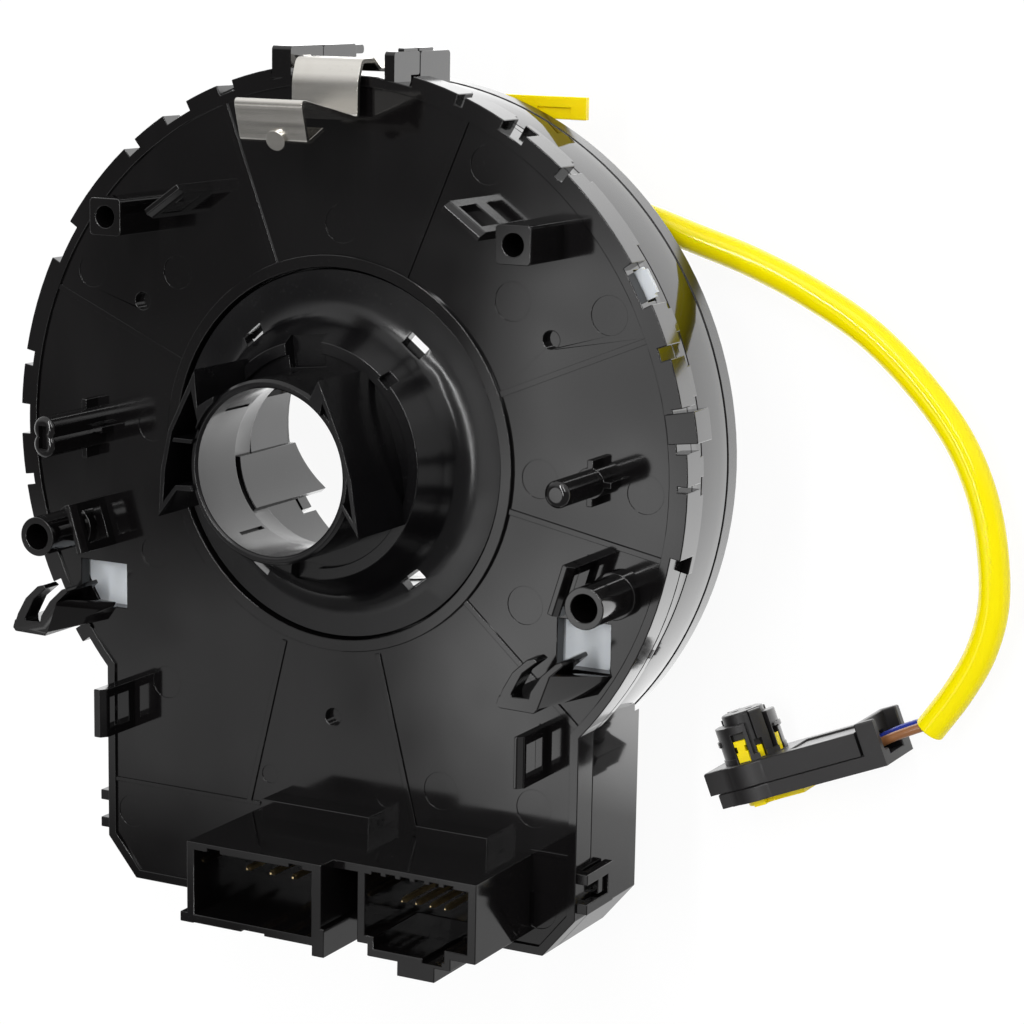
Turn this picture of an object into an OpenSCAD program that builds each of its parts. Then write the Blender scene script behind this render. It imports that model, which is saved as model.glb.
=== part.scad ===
// Steering clock spring: a fixed housing with plug sockets, a turning rotor, and a wound flat cable.
// Millimetres. The origin is on the rotor's axis, in the plane of the cover's column side.
// +Y points to the steering wheel, -Y to the steering column, and +Z is up.

/* [Housing] */
// Radius of the round cover on the column side
cover_r = 51.3; // [51.1:0.1:51.5]
// Thickness of the cover's plate
cover_t = 2; // [1.8:0.1:2]
// Radius over the tabs round the rim
tab_r = 52.7; // [52.4:0.1:53]
// Outer radius of the drum's wall
drum_r = 49.9; // [49.7:0.1:49.9]
// Inner radius of the drum's wall
drum_in_r = 48.4; // [48.3:0.1:48.6]
// Wheel side end of the drum's wall
drum_end_y = 16.8; // [16.4:0.1:16.8]
// Half width of the box below the drum
box_half_w = 38; // [37.8:0.1:38.2]
// Wheel side end of the box
box_end_y = 18.3; // [17.9:0.1:18.4]

/* [Rotor] */
// Radius of the hole for the rotor in the cover
rotor_hole_r = 25.6; // [25.5:0.05:25.8]
// Radius of the hub's disc in that hole
hub_disc_r = 25.3; // [25:0.05:25.3]
// Radius of the bore for the steering shaft
bore_r = 11.2; // [11:0.1:11.4]
// Outer radius of the hub's tube
tube_r = 12.4; // [12.3:0.1:12.6]
// Column side end of the hub's tube
tube_y = -17.2; // [-17.6:0.1:-16.8]
// Radius of the rotor's rim on the wheel side
rotor_r = 50.7; // [50.4:0.1:50.7]
// Wheel side face of the rotor's disc
rotor_face_y = 20.5; // [20.3:0.1:20.6]

/* [Flat cable] */
// Thickness of the ribbon
ribbon_t = 0.25; // [0.2:0.05:0.3]
// Distance from one turn to the next
turn_pitch = 0.9; // [0.8:0.05:0.95]
// Turns on the rotor
inner_turns = 4; // [3:1:5]
// Turns on the drum's wall
outer_turns = 3; // [2:1:3]
// Centre line radius of the turning roller
roller_r = 6.2; // [6:0.1:6.3]

/* [Sockets] */
// Height of the shaft of a square screw post
square_post_h = 9.2; // [8.8:0.1:9.6]
// Height of a round screw post
round_post_h = 10; // [9.6:0.1:10.4]
// Reach of the left socket towards the column
left_socket_y = -19.1; // [-19.4:0.1:-18.8]
// Reach of the right socket towards the column
right_socket_y = -15.9; // [-16.2:0.1:-15.6]

/* [Airbag lead] */
// Diameter of the yellow sleeve
sleeve_d = 4.2; // [4:0.1:4.4]
// Diameter of a wire
wire_d = 1.3; // [1.2:0.1:1.5]

/* [Hidden] */
$fn = 96;

cut = 0.5;                      // overshoot of a cutting tool
rim_w = 1.3;                    // width of the raised strip along the cover's edge
rim_h = 0.4;
skirt_y = 4;                    // the cover's skirt ends here
box_chamfer = [33.2, -65.5];    // where the box's bottom meets its chamfers
box_side_z = -59.8;             // where the box's sides meet its chamfers
box_top_z = -30;
block_z = -51.5;                // top of the socket block

// Spans of the cover's rim tabs and of the housing's tabs behind them, in degrees from +X towards +Z
cover_tabs = [
    [49, 33.4], [27, 20.9], [19, 11.9], [5.5, 0.8], [0, -9.8], [57.3, 50.4], [68.3, 61.4],
    [77.3, 69.5], [108.5, 101.4], [117.3, 111.2], [128.4, 122], [146.3, 130.8], [168.5, 152.9],
    [177.2, 170.8], [188.4, 181.9], [206, 190.1], [216.6, 214.2]
];
housing_tabs = [
    [47.5, 36], [26, 22.5], [17.5, 13], [4.5, 1.5], [-1, -12.8], [60.2, 51.5], [67, 62.5],
    [76, 70.5], [110.8, 103], [121.4, 112.5], [130.2, 123.5], [145, 132], [167, 154.5],
    [176, 172], [187, 183], [204.5, 191.5], [216, 214.8]
];
ear_span = [32.6, 28];          // the slide sheet's ear, in a gap between the tabs

square_post_x = 31.45;
square_post_z = 31.2;
left_pin_z = -56.8;
right_pin_z = -57.6;
left_pin_x = [-6.9, -3.05, 0.5];
right_pin_x = [for (i = [0:3]) 17.1 + 2.2 * i];
wheel_pin_x = [for (i = [0:5]) -26 + 2.5 * i];
square_post_w = 5.1;
square_post_hole_r = 1.5;
post_round = 0.6;
round_post_x = 43;
round_post_z = -14.4;
round_post_r = 2.8;
round_post_hole_r = 1.85;
pin_x = 39.9;
pin_z = 0.4;
pin_r = 1.8;
pin_h = 12.5;
fin_h = 2.8;                    // height of the fins and of the step at a pin's root
slot_fin = 4.2;                 // reach of the long fins beside the second pin

left_socket_x = [-11.7, 9.6];
right_socket_x = [13.3, 31.3];
socket_wall = 1.2;
left_socket_bottom_z = -62.9;
right_socket_bottom_z = -62.4;
socket_floor_y = -1.6;

winding_y = [4.6, 15.2];        // the ribbon's edges
inner_winding_r = 22.1;
outer_winding_r = 48.0;
guide_in_r = 27.4;
guide_out_r = 44.2;
guide_y = [4.3, 15.4];
roller_pos_r = 35.8;
mouth_half = 15;                // half of the guide ring's mouth, in degrees
opening_r = 20.4;               // the rotor cover's central opening
hub_wall_r = [20.6, 21.8];
lock_angle = 70;
slot_r = [19.4, 21.1];            // radii of the hub disc's slots

bracket_z = 54.5;               // top of the right bracket
clip_x = [-5.9, 4.3];
clip_t = 0.6;

plug_pos = [48.2, 27, -46.4];
plug_tilt = 22.5;
plug_half_t = 5;
plug_top = 3.3;                 // top of the upper shell
plug_bottom = -2.1;
plug_head_u = 5.6;
plug_head_r = 4.4;
plug_boss_r = 5.7;

// Route of the sleeve, from the clamp to its free end
sleeve_route = [
    [21.5, 24, 35.9], [28, 24.2, 34], [34.5, 24.8, 32.2], [41, 25.6, 30], [48.8, 26.4, 27.4],
    [57.4, 26.8, 23.7], [66.2, 27, 18.7], [74.3, 27, 11.6], [79.6, 27, 5], [83, 27, -2.2],
    [84.7, 27, -9.8], [85, 27, -16.5], [83.6, 27, -22.6], [80.9, 27, -28.1], [77, 27, -34]
];
// Routes of the wires, from the sleeve's end to the plug
brown_route = [
    [76.58, 26.3, -33.37], [75.5, 26.2, -33.86], [74.36, 26.1, -34.4], [72.74, 26.1, -35.2],
    [71.2, 26, -36.05], [69, 25.9, -37.5]
];
blue_route = [
    [76.85, 27.75, -33.12], [75.5, 27.85, -33.45], [74.3, 27.95, -33.97], [72.7, 28, -34.75],
    [71.2, 28, -35.6], [69, 28, -37.05]
];

// Extrudes a flat outline, drawn in X and Z, from y0 to y1
module along_y(y0, y1) {
    translate([0, y1, 0]) rotate([90, 0, 0]) linear_extrude(y1 - y0) children();
}

// Turns a profile of [radius, y] points about the rotor's axis, through the given span
module lathe(profile, span = [0, 360]) {
    rotate([90, 0, 0]) rotate([0, 0, min(span)]) rotate_extrude(angle = max(span) - min(span))
        polygon([for (p = profile) [p[0], -p[1]]]);
}

module ring(r0, r1, y0, y1, span = [0, 360]) {
    lathe([[r0, y0], [r1, y0], [r1, y1], [r0, y1]], span);
}

// A straight cylinder along Y
module rod(r, y0, y1, x = 0, z = 0) {
    translate([x, y1, z]) rotate([90, 0, 0]) cylinder(r = r, h = y1 - y0);
}

module block(x, y, z) {
    translate([x[0], y[0], z[0]]) cube([x[1] - x[0], y[1] - y[0], z[1] - z[0]]);
}

// A block with its four long edges rounded, seen along X
module slab(x, y, z, r) {
    translate([x[0], 0, 0]) rotate([90, 0, 90]) linear_extrude(x[1] - x[0])
        translate([y[0] + r, z[0] + r]) offset(r = r, $fn = 24) square([y[1] - y[0] - 2 * r, z[1] - z[0] - 2 * r]);
}

// A bar on the face from one radius to another, at an angle from +X towards +Z
module radial_bar(angle, r0, r1, width, y0, y1) {
    rotate([0, -angle, 0]) block([r0, r1], [y0, y1], [-width / 2, width / 2]);
}

// Swept tube with one ring of sides at each point of its route
function unit(v) = v / norm(v);
function heading(route, i) =
    unit(route[min(i + 1, len(route) - 1)] - route[max(i - 1, 0)]);
function tube_ring(centre, dir, r, sides) =
    let (a = unit(cross(dir, [0, 1, 0])), b = cross(dir, a))
    [for (k = [0:sides - 1]) centre + r * (cos(k * 360 / sides) * a + sin(k * 360 / sides) * b)];
module tube(route, d, sides) {
    last = len(route) - 1;
    points = [
        for (i = [0:last]) each tube_ring(route[i], heading(route, i), d / 2, sides)
    ];
    sides_faces = [
        for (i = [0:last - 1], k = [0:sides - 1])
        let (a = i * sides, b = a + sides, n = (k + 1) % sides)
        [a + k, b + k, b + n, a + n]
    ];
    ends = [
        [for (k = [0:sides - 1]) k],
        [for (k = [sides - 1:-1:0]) last * sides + k]
    ];
    polyhedron(points, concat(sides_faces, ends));
}

// Outline of the cover and of the box below it, drawn in by an inset
module face_outline(inset = 0) {
    circle(r = cover_r - inset, $fn = 180);
    box_outline(inset);
}

module box_outline(inset = 0) {
    side = box_half_w - inset;
    bottom = box_chamfer[1] + inset;
    corner = box_chamfer[0] - inset * 0.5;
    shoulder = box_side_z + inset * 0.5;
    polygon([
        [-side, box_top_z], [-side, shoulder], [-corner, bottom],
        [corner, bottom], [side, shoulder], [side, box_top_z]
    ]);
}

module square_post(x) {
    along_y(-square_post_h, 0) translate([x, square_post_z]) offset(r = post_round, $fn = 24)
        square(square_post_w - 2 * post_round, center = true);
}

module round_post(x) {
    rod(round_post_r, -round_post_h, 0, x, round_post_z);
    rod(round_post_r + 0.4, -1.6, 0, x, round_post_z);
}

// Four fins that brace a pin at its root
module pin_fins(x, reach, h) {
    block([x - 0.45, x + 0.45], [-h, 0], [pin_z - reach, pin_z + reach]);
    block([x - reach, x + reach], [-h, 0], [pin_z - 0.45, pin_z + 0.45]);
}

// Pin with a rounded tip
module pin_shaft(x, z) {
    translate([x, 0, z]) lathe([
        [0, -pin_h], [pin_r - 0.9, -pin_h], [pin_r - 0.4, -pin_h + 0.15], [pin_r - 0.12, -pin_h + 0.35],
        [pin_r, -pin_h + 0.6], [pin_r, 0], [0, 0]
    ]);
}

module round_pin(x) {
    pin_shaft(x, pin_z);
    rod(pin_r + 0.3, -fin_h, 0.1, x, pin_z);
    pin_fins(x, pin_r + 1.3, fin_h);
}

// The second pin is longer one way, so that only one pin sets the distance
module slot_pin(x) {
    difference() {
        union() {
            for (dz = [-1.1, 1.1]) pin_shaft(x, pin_z + dz);
            block([x - pin_r, x + pin_r - 0.8], [-pin_h + 0.6, 0], [pin_z - 1, pin_z + 1]);
        }
        block([x - 0.7, x + 0.7], [-pin_h - cut, -pin_h + 0.9], [pin_z - 1.6, pin_z + 1.6]);
    }
    pin_fins(x, pin_r + 1.3, fin_h);
    block([x - 0.45, x + 0.45], [-fin_h, 0], [pin_z - slot_fin, pin_z + slot_fin]);
}

// A springy frame that stands on the face, with a window for a catch
module latch_frame(from, to, t, h = 7.5) {
    run = to - from;
    length = norm(run);
    translate([from[0], 0, from[1]]) rotate([0, -atan2(run[1], run[0]), 0]) difference() {
        block([0, length], [-h, 0.2], [-t / 2, t / 2]);
        block([1.3, length - 1.3], [-h + 1.5, -1.4], [-t, t]);
        translate([length / 2, -h, t / 2]) rotate([35, 0, 0]) cube([length + 2, 1.2, 1.2], center = true);
    }
}

// Crescent fork, open at the top: its outer prong is a plate at the front, its inner one runs back
// to the face and spreads there
module fork_hook(dx, dz) {
    translate([dx, 0, dz]) {
        along_y(-8, 0.2) polygon([
            [-48.5, -29.1], [-48.95, -28.5], [-48.6, -27.4], [-44.2, -27.2], [-44, -26.3], [-42.5, -24.05],
            [-40.4, -22.1], [-39.6, -21.8], [-39.3, -22.3], [-41.2, -24], [-42.2, -26], [-42.9, -28.6], [-43.4, -29.2]
        ]);
        along_y(-8, -4.8) polygon([
            [-48.9, -28.6], [-48.03, -26.33], [-46.7, -24.05], [-44.6, -22.1], [-43.6, -21.8], [-43, -22.2],
            [-45.2, -24], [-46.75, -26.9], [-46.7, -27.6]
        ]);
        hull() {
            along_y(-8, -7.8) polygon([[-42.9, -28.6], [-42.2, -26], [-41.2, -24], [-41.5, -23.6], [-43.1, -26]]);
            along_y(0, 0.2) polygon([[-43.4, -29.2], [-38, -27.6], [-36, -24.9], [-38.6, -24.8], [-43, -26.5]]);
        }
    }
}

// Loop at the box's side that clips over a catch
module side_loop(side) {
    x = side > 0 ? [box_half_w - 0.2, box_half_w + 1.6] : [-box_half_w - 1.6, -box_half_w + 0.2];
    outer = side > 0 ? [box_half_w + 0.25, box_half_w + 1.6] : [-box_half_w - 1.6, -box_half_w - 0.25];
    for (z = [-53.2, -57.3]) {
        block(x, [0, 1.9], [z - 1.5, z]);
        block(outer, [0, 8], [z - 1.5, z]);
    }
    block(outer, [6.4, 8], [-58.8, -53.2]);
}

module socket_shells() {
    block(left_socket_x, [left_socket_y, 0.2], [left_socket_bottom_z, block_z]);
    block(right_socket_x, [right_socket_y, 0.2], [right_socket_bottom_z, block_z]);
    block([left_socket_x[1] - 1, right_socket_x[0] + 1], [right_socket_y, 0.2], [block_z - 1.2, block_z]);
    block([left_socket_x[1] - 1, right_socket_x[0] + 1], [-8, 0.2], [-62.4, -61.2]);
    // Feet along the bottom edges
    block([left_socket_x[0] - 1.1, left_socket_x[0] + 1], [left_socket_y, 0.2], [-63, -61.6]);
    block([left_socket_x[1] - 1.4, left_socket_x[1] + 0.5], [left_socket_y, 0.2], [-64.3, -60.3]);
    // Coding ribs under the right socket
    block([14.9, 27.6], [right_socket_y, -3.2], [-64, -62]);
    block([19.5, 25.2], [right_socket_y, -3.2], [-66, -63.5]);
    // Ledges in the corner between the face and the block
    block([-9.3, 8.1], [-4.1, 0.2], [block_z - 0.2, -49]);
    block([15.4, 26.5], [-4.1, 0.2], [block_z - 0.2, -49]);
}

module socket_cavities() {
    block([left_socket_x[0] + socket_wall, left_socket_x[1] - 1.5], [left_socket_y - cut, socket_floor_y],
        [left_socket_bottom_z + socket_wall, block_z - 1.1]);
    block([right_socket_x[0] + socket_wall, right_socket_x[1] - 1.3], [right_socket_y - cut, socket_floor_y],
        [-61.2, block_z - 1.2]);
    // Coding slots in the right socket's floor
    block([15.9, 26.6], [right_socket_y - cut, -4], [-62.9, -61]);
    block([23.4, 26.2], [right_socket_y - cut, -4], [-63.5, -62]);
    // Relief in the left socket's bottom edge
    block([-2.9, 0.7], [left_socket_y - cut, -15], [-64, -62.6]);
    // Guide grooves in the right socket's roof
    for (i = [0:5]) block([15.5 + 2.2 * i, 16.8 + 2.2 * i], [right_socket_y - cut, -4], [-53, -52.3]);
    // Guide grooves in the left socket's roof
    for (x = [-8.4, 4.6]) block([x, x + 2], [left_socket_y - cut, -4], [-53, -52.1]);
}

// Marks that the mould's pins leave in the face
module ejector_marks() {
    for (p = [
        [-40.2, 22.5], [-25.8, 23.2], [0.7, 31.5], [22.8, 40.4], [26.7, 22.8], [40.8, 22],
        [31.2, -0.3], [46.6, -0.8], [-30.2, 1.4], [-29.8, -16.8], [29.4, -17.5], [-27.9, -35.6],
        [-34, -55.6], [17, -44.9], [31.3, -45.2], [32.4, -59.2]
    ]) rod(p[0] < -20 ? 2.3 : 2.6, -cut, 0.12, p[0], p[1]);
    for (p = [[-10.5, -46.6], [8.3, -47.2]]) rod(1.3, -cut, 0.12, p[0], p[1]);
    for (p = [[-31.7, 18.8], [32.5, 18.2], [-0.2, -36.9]]) rod(1.2, -cut, 1.1, p[0], p[1]);
}

module face_ribs() {
    for (rib = [[111, 50.2], [67, 50.2], [156.5, 50.2], [22.5, 50.2], [-10.7, 50.2], [-41.5, 50.2]])
        radial_bar(rib[0], rotor_hole_r + 1, rib[1], 0.8, -0.25, 0.2);
    for (foot = [[-13.9, -8.1], [13.1, 6.9]]) {
        run = [foot[0] - foot[1], -51 + 26.9];
        translate([foot[1], 0, -26.9]) rotate([0, -atan2(run[1], run[0]), 0])
            block([0, norm(run)], [-0.25, 0.2], [-0.4, 0.4]);
    }
    block([-36.8, -12], [-0.25, 0.2], [-51.4, -50.8]);
    block([31, 36.8], [-0.25, 0.2], [-51.4, -50.8]);
}

module cover_brackets() {
    slab([-10.2, -7.2], [-0.4, skirt_y], [cover_r - 1.2, 54.8], 0.6);
    slab([-10.2, -7.2], [skirt_y - 0.6, 7.8], [cover_r + 0.1, 54.8], 0.5);
    slab([7.3, 8.8], [-0.4, skirt_y], [cover_r - 1.2, bracket_z], 0.6);
    slab([7.3, 8.8], [skirt_y - 0.6, 6.3], [cover_r + 0.1, bracket_z], 0.35);
    slab([7.6, 8.5], [2.6, 6.3], [bracket_z - 0.7, 54.9], 0.3);
}

module column_cover() {
    color([0.1, 0.1, 0.11]) difference() {
        union() {
            along_y(0, cover_t) face_outline();
            along_y(-rim_h, 0.1) difference() {
                face_outline();
                face_outline(rim_w);
            }
            along_y(cover_t - 0.1, skirt_y) difference() {
                face_outline();
                face_outline(rim_w);
            }
            ring(rotor_hole_r, rotor_hole_r + 1.7, -0.6, 0.1);
            for (t = cover_tabs) ring(cover_r - 0.4, tab_r, -0.4, 3.8, t);
            // Larger lug at the right
            ring(cover_r - 1, 54.6, -0.9, 3.6, [7, 11.4]);
            face_ribs();
            cover_brackets();
            for (side = [-1, 1]) {
                square_post(side * square_post_x);
                round_post(side * round_post_x);
                side_loop(side);
                latch_frame([side * 20.4, 35.5], [side * 25.8, 31.7], 1.5);
                latch_frame([side * 39.3, -9.8], [side * 37.2, -16.6], 1.5);
            }
            latch_frame([-34.4, -36], [-34.4, -43], 1.8);
            latch_frame([32.6, -33.4], [32.6, -40.5], 1.2);
            round_pin(pin_x);
            slot_pin(-pin_x);
            fork_hook(0, 0);
            fork_hook(78.5, -0.6);
            socket_shells();
        }
        rod(rotor_hole_r, -3, cover_t + 3);
        for (side = [-1, 1]) {
            rod(square_post_hole_r, -square_post_h - cut, -0.4, side * square_post_x, square_post_z);
            rod(round_post_hole_r, -round_post_h - cut, 0.6, side * round_post_x, round_post_z);
        }
        // Windows that show the slide sheet
        block([-42.6, -34.8], [-cut, cover_t + cut], [-25.6, -19.2]);
        block([34.3, 42.1], [-cut, cover_t + cut], [-25.2, -18.6]);
        socket_cavities();
        ejector_marks();
        // Gap in the skirt for the slide sheet's ear
        ring(49.4, tab_r + 2, cover_t - 0.05, skirt_y + 1, [ear_span[1] - 0.2, ear_span[0] + 0.2]);
        // Slots for the terminals
        for (x = left_pin_x) pin_slot(x, left_pin_z);
        for (x = right_pin_x) pin_slot(x, right_pin_z);
    }
}

// Slot that a terminal passes through
module pin_slot(x, z) {
    block([x - 0.4, x + 0.4], [-3, 7], [z - 0.4, z + 0.4]);
}

module drum_housing() {
    color([0.13, 0.13, 0.14]) difference() {
        union() {
            // Drum's wall with its spigot and flange
            lathe([
                [drum_in_r - 0.4, cover_t + 0.1], [drum_r, cover_t + 0.1], [drum_r, skirt_y + 0.1],
                [cover_r, skirt_y + 0.1], [cover_r, 5.6], [drum_r, 5.6], [drum_r, drum_end_y],
                [drum_in_r - 0.4, drum_end_y]
            ]);
            for (t = housing_tabs) ring(cover_r - 0.4, tab_r - 0.3, 4.1, 5.4, t);
            // Lip round the upper part
            ring(drum_r - 0.7, 50.5, 14.9, drum_end_y - 0.1, [-196, 16]);
            // Box
            difference() {
                along_y(skirt_y + 0.1, box_end_y) box_outline();
                along_y(skirt_y, box_end_y - 1.5) box_outline(1.6);
                rod(rotor_r + 0.6, drum_end_y, 30);
            }
            // Bars over the brackets
            slab([-10.2, -7.2], [7.9, drum_end_y], [drum_r - 1.6, 54.8], 0.6);
            slab([-9.8, -7.6], [drum_end_y - 1, 19.4], [53.4, 54.6], 0.5);
            slab([7.3, 8.8], [6.5, 14.8], [drum_r - 1.4, bracket_z], 0.6);
            slab([7.6, 8.5], [6.7, 10.5], [bracket_z - 0.7, 54.9], 0.3);
            // Catches for the side loops
            for (side = [-1, 1]) {
                x = side > 0 ? [box_half_w - 0.2, box_half_w + 1.1] : [-box_half_w - 1.1, -box_half_w + 0.2];
                block(x, [4.3, 6.2], [-57.1, -54.9]);
            }
        }
        // Keeps the ring's inside clear, and opens the wall for the cable's tail
        rod(drum_in_r, 0, 30);
        block([-9, 5], [4.4, 15.6], [-52, -46]);
        ring(drum_in_r - 1, tab_r + 2, 1, skirt_y + 0.3, [ear_span[1] - 0.2, ear_span[0] + 0.2]);
        // Notch for the lock's finger
        radial_bar(lock_angle, drum_in_r - 1, drum_r - 0.5, 5.6, drum_end_y - 2.2, drum_end_y + 1);
        // Seams in the band
        for (a = [49.2, 8.2, -13.5, 128]) radial_bar(a, drum_r - 0.4, cover_r + 1, 0.3, 6, drum_end_y + 1);
    }
}

module slide_sheet() {
    color([0.9, 0.92, 0.92]) union() {
        ring(26, 48.1, cover_t + 0.15, cover_t + 0.75);
        ring(48, 52.5, cover_t + 0.15, cover_t + 0.75, ear_span);
        ring(52.4, 52.9, cover_t + 0.15, cover_t + 0.75, [ear_span[1] + 0.5, ear_span[0] - 0.5]);
    }
}

// Bent sheet metal: a bend at each point of the path, as [y, z] seen along X, and a strip of one
// thickness along it
clip_path = [
    [5.3, 51.8], [4.2, 53.2], [-1, 53.2], [-1.9, 50.5], [-2, 45.6],
    [-16.1, 48.4], [-14.5, 43], [-10.8, 44.6]
];
function bend(a, b, c, r) = [
    for (t = [0:0.25:1]) (1 - t) * (1 - t) * (b + r * unit(a - b)) + 2 * t * (1 - t) * b + t * t * (b + r * unit(c - b))
];
function bent(path, r) = concat([path[0]],
    [for (i = [1:len(path) - 2]) each bend(path[i - 1], path[i], path[i + 1], r)], [path[len(path) - 1]]);
function beside(path, i, t) =
    let (h = heading(path, i)) path[i] + t * [-h[1], h[0]];
module strip(path, t) {
    last = len(path) - 1;
    polygon(concat([for (i = [0:last]) beside(path, i, t / 2)], [for (i = [last:-1:0]) beside(path, i, -t / 2)]));
}

module spring_clip() {
    color([0.75, 0.75, 0.74]) union() {
        translate([clip_x[0], 0, 0]) rotate([90, 0, 90]) linear_extrude(clip_x[1] - clip_x[0])
            strip(bent(clip_path, 0.8), clip_t);
        // Tab at the front hook's bottom, and wings beside the top
        translate([-0.2, -15.1, 43.3]) rotate([110, 0, 0]) cylinder(r = 1.4, h = clip_t, center = true);
        for (w = [[clip_x[0], -1, 0.4], [clip_x[1], 1, 2]])
            translate([w[0], w[2], clip_path[1][1]]) rotate([0, w[1] * 48, 0])
                block([min(-0.4, w[1] * 1.6), max(0.4, w[1] * 1.6)], [0, 2], [-0.25, 0.25]);
    }
}

module terminal_block() {
    color([0.16, 0.16, 0.17]) difference() {
        union() {
            block([-12, 31.6], [cover_t + 0.1, 6.5], [-63, -53]);
            block([-9, 5], [6.4, 12], [-57.5, -52.2]);
        }
        for (x = left_pin_x) pin_slot(x, left_pin_z);
        for (x = right_pin_x) pin_slot(x, right_pin_z);
        for (x = [-9, 12, 28]) rod(1, 0, 8, x, -60.5);
    }
}

// Square pin with a chamfered tip, from y0 back to y1
module terminal_pin(x, z, y0, y1, w) {
    block([x - w / 2, x + w / 2], [y0 + 0.5, y1], [z - w / 2, z + w / 2]);
    translate([x, y0 + 0.5, z]) rotate([90, 45, 0]) cylinder(r1 = w * 0.7, r2 = w * 0.3, h = 0.5, $fn = 4);
}

module left_socket_pins() {
    color([0.85, 0.68, 0.35]) for (x = left_pin_x) terminal_pin(x, left_pin_z, -11.5, 6.3, 0.64);
}

module right_socket_pins() {
    color([0.85, 0.68, 0.35]) for (x = right_pin_x) terminal_pin(x, right_pin_z, -10.5, 6.3, 0.64);
}

// Spiral ribbon: its turns lie one turn pitch apart
function spiral(r0, pitch, turns, steps) =
    [for (i = [0:turns * steps]) let (a = i * 360 / steps) (r0 + pitch * i / steps) * [cos(a), sin(a)]];
module winding(r0, pitch, turns, steps) {
    inner = spiral(r0, pitch, turns, steps);
    outer = spiral(r0 + ribbon_t, pitch, turns, steps);
    last = len(outer) - 1;
    along_y(winding_y[0], winding_y[1]) polygon(concat(inner, [for (i = [last:-1:0]) outer[i]]));
}

module outer_winding() {
    color([0.95, 0.75, 0.45]) rotate([0, 90, 0])
        winding(outer_winding_r - outer_turns * turn_pitch - ribbon_t, turn_pitch, outer_turns, 40);
}

module inner_winding() {
    color([0.95, 0.75, 0.45]) winding(inner_winding_r + 0.1, turn_pitch, inner_turns, 36);
}

module outer_cable_holder() {
    color([0.85, 0.85, 0.8]) difference() {
        block([-8.4, 4.4], [4.8, 15], [-51.8, -48.6]);
        block([-7.6, 3.6], [5.6, 14.2], [-50.6, -49.8]);
        rod(drum_in_r - 0.1, 0, 20);
    }
}

module inner_cable_holder() {
    color([0.85, 0.85, 0.8]) difference() {
        ring(hub_wall_r[0] - 1.6, hub_wall_r[0] - 0.1, 8, 17.6, [165, 195]);
        ring(hub_wall_r[0] - 1.1, hub_wall_r[0] - 0.6, 10, 18, [170, 190]);
    }
}

// One cancelling cam: a thin shell beside the tube, open towards the column
module cam_lobe(outline, hollow) {
    difference() {
        along_y(-18, -5) polygon(outline);
        along_y(-19, -5.6) polygon(hollow);
        rod(tube_r - 0.5, -25, 5);
    }
}

module hub_body() {
    lathe([
        [bore_r, tube_y + 0.3], [bore_r + 0.3, tube_y], [tube_r - 0.4, tube_y], [tube_r, tube_y + 0.5],
        [tube_r, -5.2], [14.6, -5.2], [14.6, -6], [16.2, -6], [18.2, -2.6], [18.9, -1.3], [19.9, -0.4],
        [21.2, 0.05], [22.4, 0.2], [hub_disc_r, 0.2], [hub_disc_r, 3.1], [27.1, 3.1], [27.1, 4.2], [hub_wall_r[1], 4.2],
        [hub_wall_r[1], 17.9], [hub_wall_r[0], 17.9], [hub_wall_r[0], 1.8], [17.4, 1.8],
        [15.8, -1.6], [14.8, -3.2], [bore_r + 0.6, -3.2], [bore_r + 0.6, -7.2], [bore_r, -7.8]
    ]);
}

// Tongue behind the bore, with its end cut at a slant
module bore_tongue(turn) {
    rotate([0, -turn, 0]) difference() {
        ring(bore_r + 0.05, tube_r - 0.1, -6.6, 11.6, [182, 220]);
        translate([0, 7.7, -0.4]) rotate([30, 0, 0]) block([-20, 20], [0, 12], [-12, 4]);
    }
}

module hub_solid() {
    hub_body();
    cam_lobe([
        [-11, 12.9], [-13.1, 8.6], [-15.2, 4.4], [-16.4, -0.9], [-16.8, -7.4], [-13.9, -3.6],
        [-8, -3.4], [-8, 9.6], [-10.6, 8]
    ], [
        [-11.6, 10], [-12.5, 8.3], [-14.6, 4.2], [-15.7, -0.9], [-16.1, -5.3], [-14.1, -2.9],
        [-11.4, -2.7], [-11.4, 2.9], [-14.6, 2.9], [-14.4, 3.5], [-11.2, 3.5], [-10.6, 6]
    ]);
    cam_lobe([
        [8.1, 13], [9.8, 9.3], [11.8, 4.7], [13.2, 0.2], [14.3, -7.2], [11.7, -3.5], [8, -4], [6, 9]
    ], [
        [8.7, 10], [9.3, 8.8], [11.2, 4.3], [12.5, 0], [13.3, -4.7], [11.9, -2.8], [10, -2.8], [8, 6]
    ]);
    bore_tongue(0);
    bore_tongue(180);
    // Snap arms through the rotor's cover
    for (a = [45, 135, 225, 315]) {
        lathe([[hub_wall_r[0] + 0.1, 17.4], [hub_wall_r[1] - 0.1, 17.4], [hub_wall_r[1] - 0.1, rotor_face_y + 0.1],
            [22.7, rotor_face_y + 0.1], [22.1, 21.5], [hub_wall_r[0] + 0.1, 21.5]], [a - 7, a + 7]);
    }
}

module rotor_hub() {
    color([0.1, 0.1, 0.11]) difference() {
        hub_solid();
        // Slots in the disc
        for (a = [52, 130.5, -52, -126]) radial_bar(a, slot_r[0], slot_r[1], 3.3, -1, 2.2);
        // Pockets in the boss
        radial_bar(96, 12.6, 16.9, 5.6, -7, -4);
        radial_bar(265.5, 14.2, 16.9, 4.2, -7, -4);
        radial_bar(46.5, 15.6, 17.4, 1.8, -7, -4.6);
        // Long slits in the bore's wall
        for (a = [140, 236]) radial_bar(a, bore_r - 1, bore_r + 0.4, 0.5, -14, -8.6);
    }
}

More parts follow.
